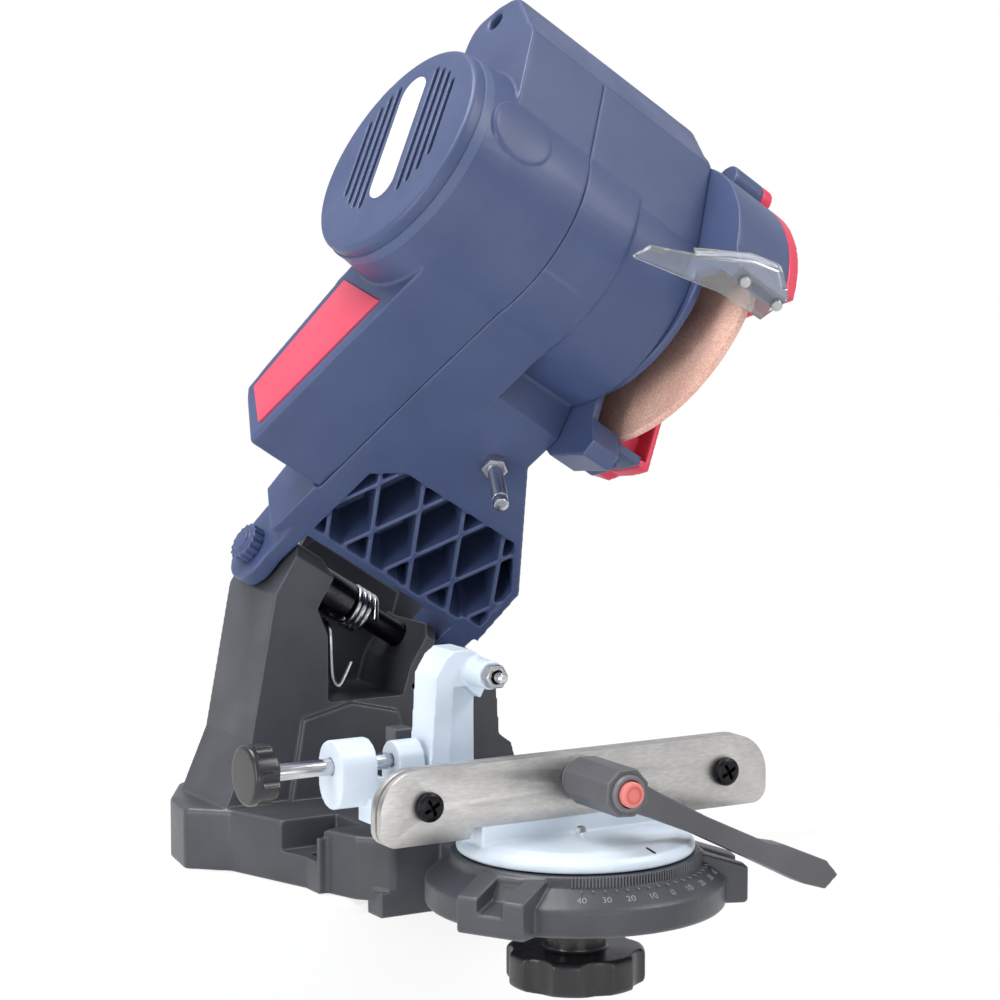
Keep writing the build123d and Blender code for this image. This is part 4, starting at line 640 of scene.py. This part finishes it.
# ---------------------------------------------------------------- head housings
# Two injection moulded shells of blue ABS meet at a seam across the motor. The right one
# runs down as the ribbed neck with the hinge ears, the left one holds the switch.
forward = back * -cos(lift) + square * sin(lift)
upward = back * sin(lift) + square * cos(lift)
head = Matrix.Translation(hinge) @ Matrix((forward, upward, -along)).transposed().to_4x4()
blue = moulded_plastic("blue_textured_abs", "#39466b", "#657292", 0.0005, 0.4, 0.3)
rear_web = Matrix.Identity(4), (0.0241, -0.0119, 0.032), (0.0272, 0.012, 0.057)
moulding("gear_housing", "gear_shell", "head", blue, "blue_plastic", 0.0006, 5, 0.13, head,
         [((0.17, 0.066, 0.048), (0.23, 0.14, 0.066), 70)],
         [rear_web])
moulding("motor_housing", "motor_shell", "head", blue, "blue_plastic", 0.0006, 5, 0.16, head,
         [((0.175, 0.066, 0.138), (0.23, 0.14, 0.15), 40), ((0.03, -0.03, 0.139), (0.115, 0.036, 0.15), 14),
          ((0.03, -0.03, 0.104), (0.052, 0.03, 0.15), 24)])
moulding("hinge_pin_cap", "pin_cap", "head", blue, "blue_plastic", 0.0004, 3, 0.4, head)

# A narrow band closes the joint under the cap, and a round pad stands on the side wall.
motor_middle = head @ Vector((0.159, 0.031, 0))
band = lathe("cap_joint_band", [(0.1550, 0.0438), (0.1552, 0.0445), (0.1608, 0.0445), (0.1610, 0.0438)],
             motor_middle, -along, blue, 160)
fitted(band, "head", "blue_plastic")
pad_angle, pad_radius, pad_base, wall_radius, pad_rise = radians(-25), 0.0138, 0.0435, 0.0459, 0.0006
pad_edge = 0.0012
pad_way = forward * cos(pad_angle) + upward * sin(pad_angle)
pad_profile = [(pad_base, pad_radius)] + [(0.0500, pad_radius * share) for share in
                                          (1.0, 0.985, 0.96, 0.92, 0.86, 0.75, 0.6, 0.4, 0.2, 0.08)]
pad_foot = motor_middle - along * 0.1425
pad = lathe("side_pad", pad_profile, pad_foot, pad_way, blue, 96)
for vertex in pad.data.vertices:
    from_middle = vertex.co - pad_foot
    off_centre = (from_middle - pad_way * from_middle.dot(pad_way)).length
    radial = from_middle - along * from_middle.dot(along)
    rounded = min(1.0, max(0.0, (pad_radius - off_centre) / pad_edge)) ** 0.5
    if radial.length > wall_radius:
        vertex.co += radial * ((wall_radius + pad_rise * rounded) / radial.length - 1)
fitted(pad, "head", "blue_plastic")

# The vented end cap carries a bare oval film, and the flank a bare red inlay.
moulding("vented_cap", "motor_cap", "head", blue, "blue_plastic", 0.0005, 4, 0.25, head,
         [((0.1, -0.02, 0.1632), (0.1995, 0.0, 0.17), 30)])
film, tree = new_material("white_vinyl_film")
place = add(tree, "ShaderNodeTexCoord").outputs["Object"]
peel = add(tree, "ShaderNodeTexNoise", {"Vector": place, "Scale": 700.0, "Detail": 2.0})
cloud = add(tree, "ShaderNodeTexNoise", {"Vector": place, "Scale": 90.0, "Detail": 3.0})
tint = add(tree, "ShaderNodeMix", {0: cloud.outputs["Fac"], 6: linear("#e9e8e4"), 7: linear("#f6f5f2")},
           data_type="RGBA")
bump = add(tree, "ShaderNodeBump", {"Height": peel.outputs["Fac"], "Strength": 0.1, "Distance": 0.00005})
shader = add(tree, "ShaderNodeBsdfPrincipled", {"Base Color": tint.outputs[2], "Roughness": 0.32,
                                                "Coat Weight": 0.3, "Normal": bump.outputs[0]})
add(tree, "ShaderNodeOutputMaterial", {"Surface": shader.outputs[0]})
eased("cap_film", "head", film, "label_white", 0.0002, "label_plate")
red = moulded_plastic("red_abs", "#cc2b48", "#e5637a", 0.0006, 0.4, 0.2)
eased("flank_inlay", "head", red, "red_plastic", 0.0004, "trim_panel")
eased("housing_screws", "head", black_steel, "dark_steel", 0.0002, "shell_screws")

# ---------------------------------------------------------------- wheel guard and visor
# The guard is of the housing's blue ABS, closed by a red cover. A clear polycarbonate
# visor with a turned-up rim is screwed below it, to see the cutter through.
moulding("guard_moulding", "wheel_guard", "head", blue, "blue_plastic", 0.0005, 5, 0.2, head)
moulding("guard_cover_red", "wheel_cover", "head", red, "red_plastic", 0.0005, 4, 0.2, head)
eased("cover_screws_black", "head", black_steel, "dark_steel", 0.0002, "cover_screws")
eased("visor_screws_zinc", "head", zinc, "bright_steel", 0.0002, "visor_screws")
clear, tree = new_material("clear_polycarbonate")
place = add(tree, "ShaderNodeTexCoord").outputs["Object"]
flow = add(tree, "ShaderNodeTexNoise", {"Vector": place, "Scale": 120.0, "Detail": 2.0})
haze = add(tree, "ShaderNodeMapRange", {"Value": flow.outputs["Fac"], "To Min": 0.03, "To Max": 0.12})
bump = add(tree, "ShaderNodeBump", {"Height": flow.outputs["Fac"], "Strength": 0.08, "Distance": 0.0004})
shader = add(tree, "ShaderNodeBsdfPrincipled", {"Base Color": linear("#f2f5f7"), "IOR": 1.58,
                                                "Transmission Weight": 0.92, "Roughness": haze.outputs[0],
                                                "Normal": bump.outputs[0]})
add(tree, "ShaderNodeOutputMaterial", {"Surface": shader.outputs[0]})
eased("clear_visor", "head", clear, "clear_plastic", 0.0004, "visor")

# ---------------------------------------------------------------- grinding wheel and spindle
# A vitrified wheel of pink-brown corundum: open pores between grains of about 0.4 mm.
# Steel flanges and a nut clamp it on the motor's spindle.
corundum, tree = new_material("vitrified_corundum")
place = add(tree, "ShaderNodeTexCoord").outputs["Object"]
grains = add(tree, "ShaderNodeTexVoronoi", {"Vector": place, "Scale": 2200.0})
cloud = add(tree, "ShaderNodeTexNoise", {"Vector": place, "Scale": 70.0, "Detail": 5.0})
single = add(tree, "ShaderNodeSeparateColor", {0: grains.outputs["Color"]})
tint = add(tree, "ShaderNodeMix", {0: single.outputs[0], 6: linear("#cf9a87"), 7: linear("#f0cdbf")},
           data_type="RGBA")
second_tone = add(tree, "ShaderNodeMapRange", {"Value": cloud.outputs["Fac"], "From Min": 0.35, "From Max": 0.7,
                                        "To Max": 0.4})
dusty = add(tree, "ShaderNodeMix", {0: second_tone.outputs[0], 6: tint.outputs[2], 7: linear("#c9927f")},
            data_type="RGBA")
bump = add(tree, "ShaderNodeBump", {"Height": grains.outputs["Distance"], "Strength": 0.5,
                                    "Distance": 0.0003}, invert=True)
shader = add(tree, "ShaderNodeBsdfPrincipled", {"Base Color": dusty.outputs[2], "Roughness": 0.88,
                                                "Normal": bump.outputs[0]})
add(tree, "ShaderNodeOutputMaterial", {"Surface": shader.outputs[0]})
eased("corundum_wheel", "spindle", corundum, "grinding_stone", 0.0004, "grinding_wheel")
eased("wheel_flanges", "spindle", zinc, "bright_steel", 0.0004, "inner_flange", "outer_flange")
eased("wheel_nut_zinc", "spindle", zinc, "bright_steel", 0.0004, "wheel_nut")
eased("spindle_shaft", "spindle", bright_rod, "bearing_steel", 0.0003, "motor_shaft")


# ---------------------------------------------------------------- motor
# A universal motor fills the housing: laminated iron, copper bars, carbon brushes in a
# brown bridge, a fan of white nylon and two ball bearings.
def paint(material, *nodes):
    """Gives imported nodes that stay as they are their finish."""
    for node in nodes:
        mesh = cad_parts[node].data
        mesh.materials.clear()
        mesh.materials.append(material)


iron, tree = new_material("stacked_motor_iron")
place = add(tree, "ShaderNodeTexCoord").outputs["Object"]
turned = add(tree, "ShaderNodeMapping", {"Vector": place, "Rotation": (0, slope, 0)})
sheets = add(tree, "ShaderNodeTexWave", {"Vector": turned.outputs[0], "Scale": 320.0, "Distortion": 0.2},
             bands_direction="X")
tint = add(tree, "ShaderNodeMix", {0: sheets.outputs["Fac"], 6: linear("#5b5d61"), 7: linear("#8b8d90")},
           data_type="RGBA")
bump = add(tree, "ShaderNodeBump", {"Height": sheets.outputs["Fac"], "Strength": 0.4, "Distance": 0.0002})
shader = add(tree, "ShaderNodeBsdfPrincipled", {"Base Color": tint.outputs[2], "Metallic": 0.9,
                                                "Roughness": 0.5, "Normal": bump.outputs[0]})
add(tree, "ShaderNodeOutputMaterial", {"Surface": shader.outputs[0]})
paint(iron, "stator", "rotor_core")
paint(metal("drawn_copper", "#a35d3a", "#d08a62", 0.32, 0.0004, 0.2), "commutator")
paint(moulded_plastic("pressed_carbon", "#1d1d1f", "#38383a", 0.0003, 0.6, 0.3), "carbon_brushes")
paint(moulded_plastic("brown_bakelite", "#3a2a22", "#5b463b", 0.0006, 0.4, 0.2), "brush_bridge")
white_nylon = moulded_plastic("white_nylon", "#c9c7bf", "#e2e0d8", 0.0006, 0.45, 0.2)
paint(white_nylon, "cooling_fan", "terminal_block")
paint(zinc, "bearing_front", "bearing_rear")

# ---------------------------------------------------------------- switch and gland
# A black rocker switch snaps into the upper face of the flank, beside the soft rubber
# gland of the supply lead.
satin_black = moulded_plastic("satin_black_nylon", "#202022", "#404043", 0.0005, 0.42, 0.2)
eased("switch_frame", "head", satin_black, "black_plastic", 0.0004, "switch_body")
eased("switch_key", "rocker", red, "red_plastic", 0.0005, "switch_rocker")
moulding("gland_rubber", "cable_gland", "head", satin_black, "black_plastic", 0.0004, 3, 0.4)

# ---------------------------------------------------------------- depth screw
# A plated screw with a knurled head stops the head's travel. A nut holds it in the neck,
# and its pale tip spares the post that it comes down on.
eased("depth_nut", "head", zinc, "bright_steel", 0.0003, "depth_collar")
eased("depth_screw_bright", "depth_screw", bright_rod, "bright_steel", 0.0003, "depth_screw")
eased("depth_tip_bright", "depth_foot", bright_rod, "bright_steel", 0.0005, "depth_tip")
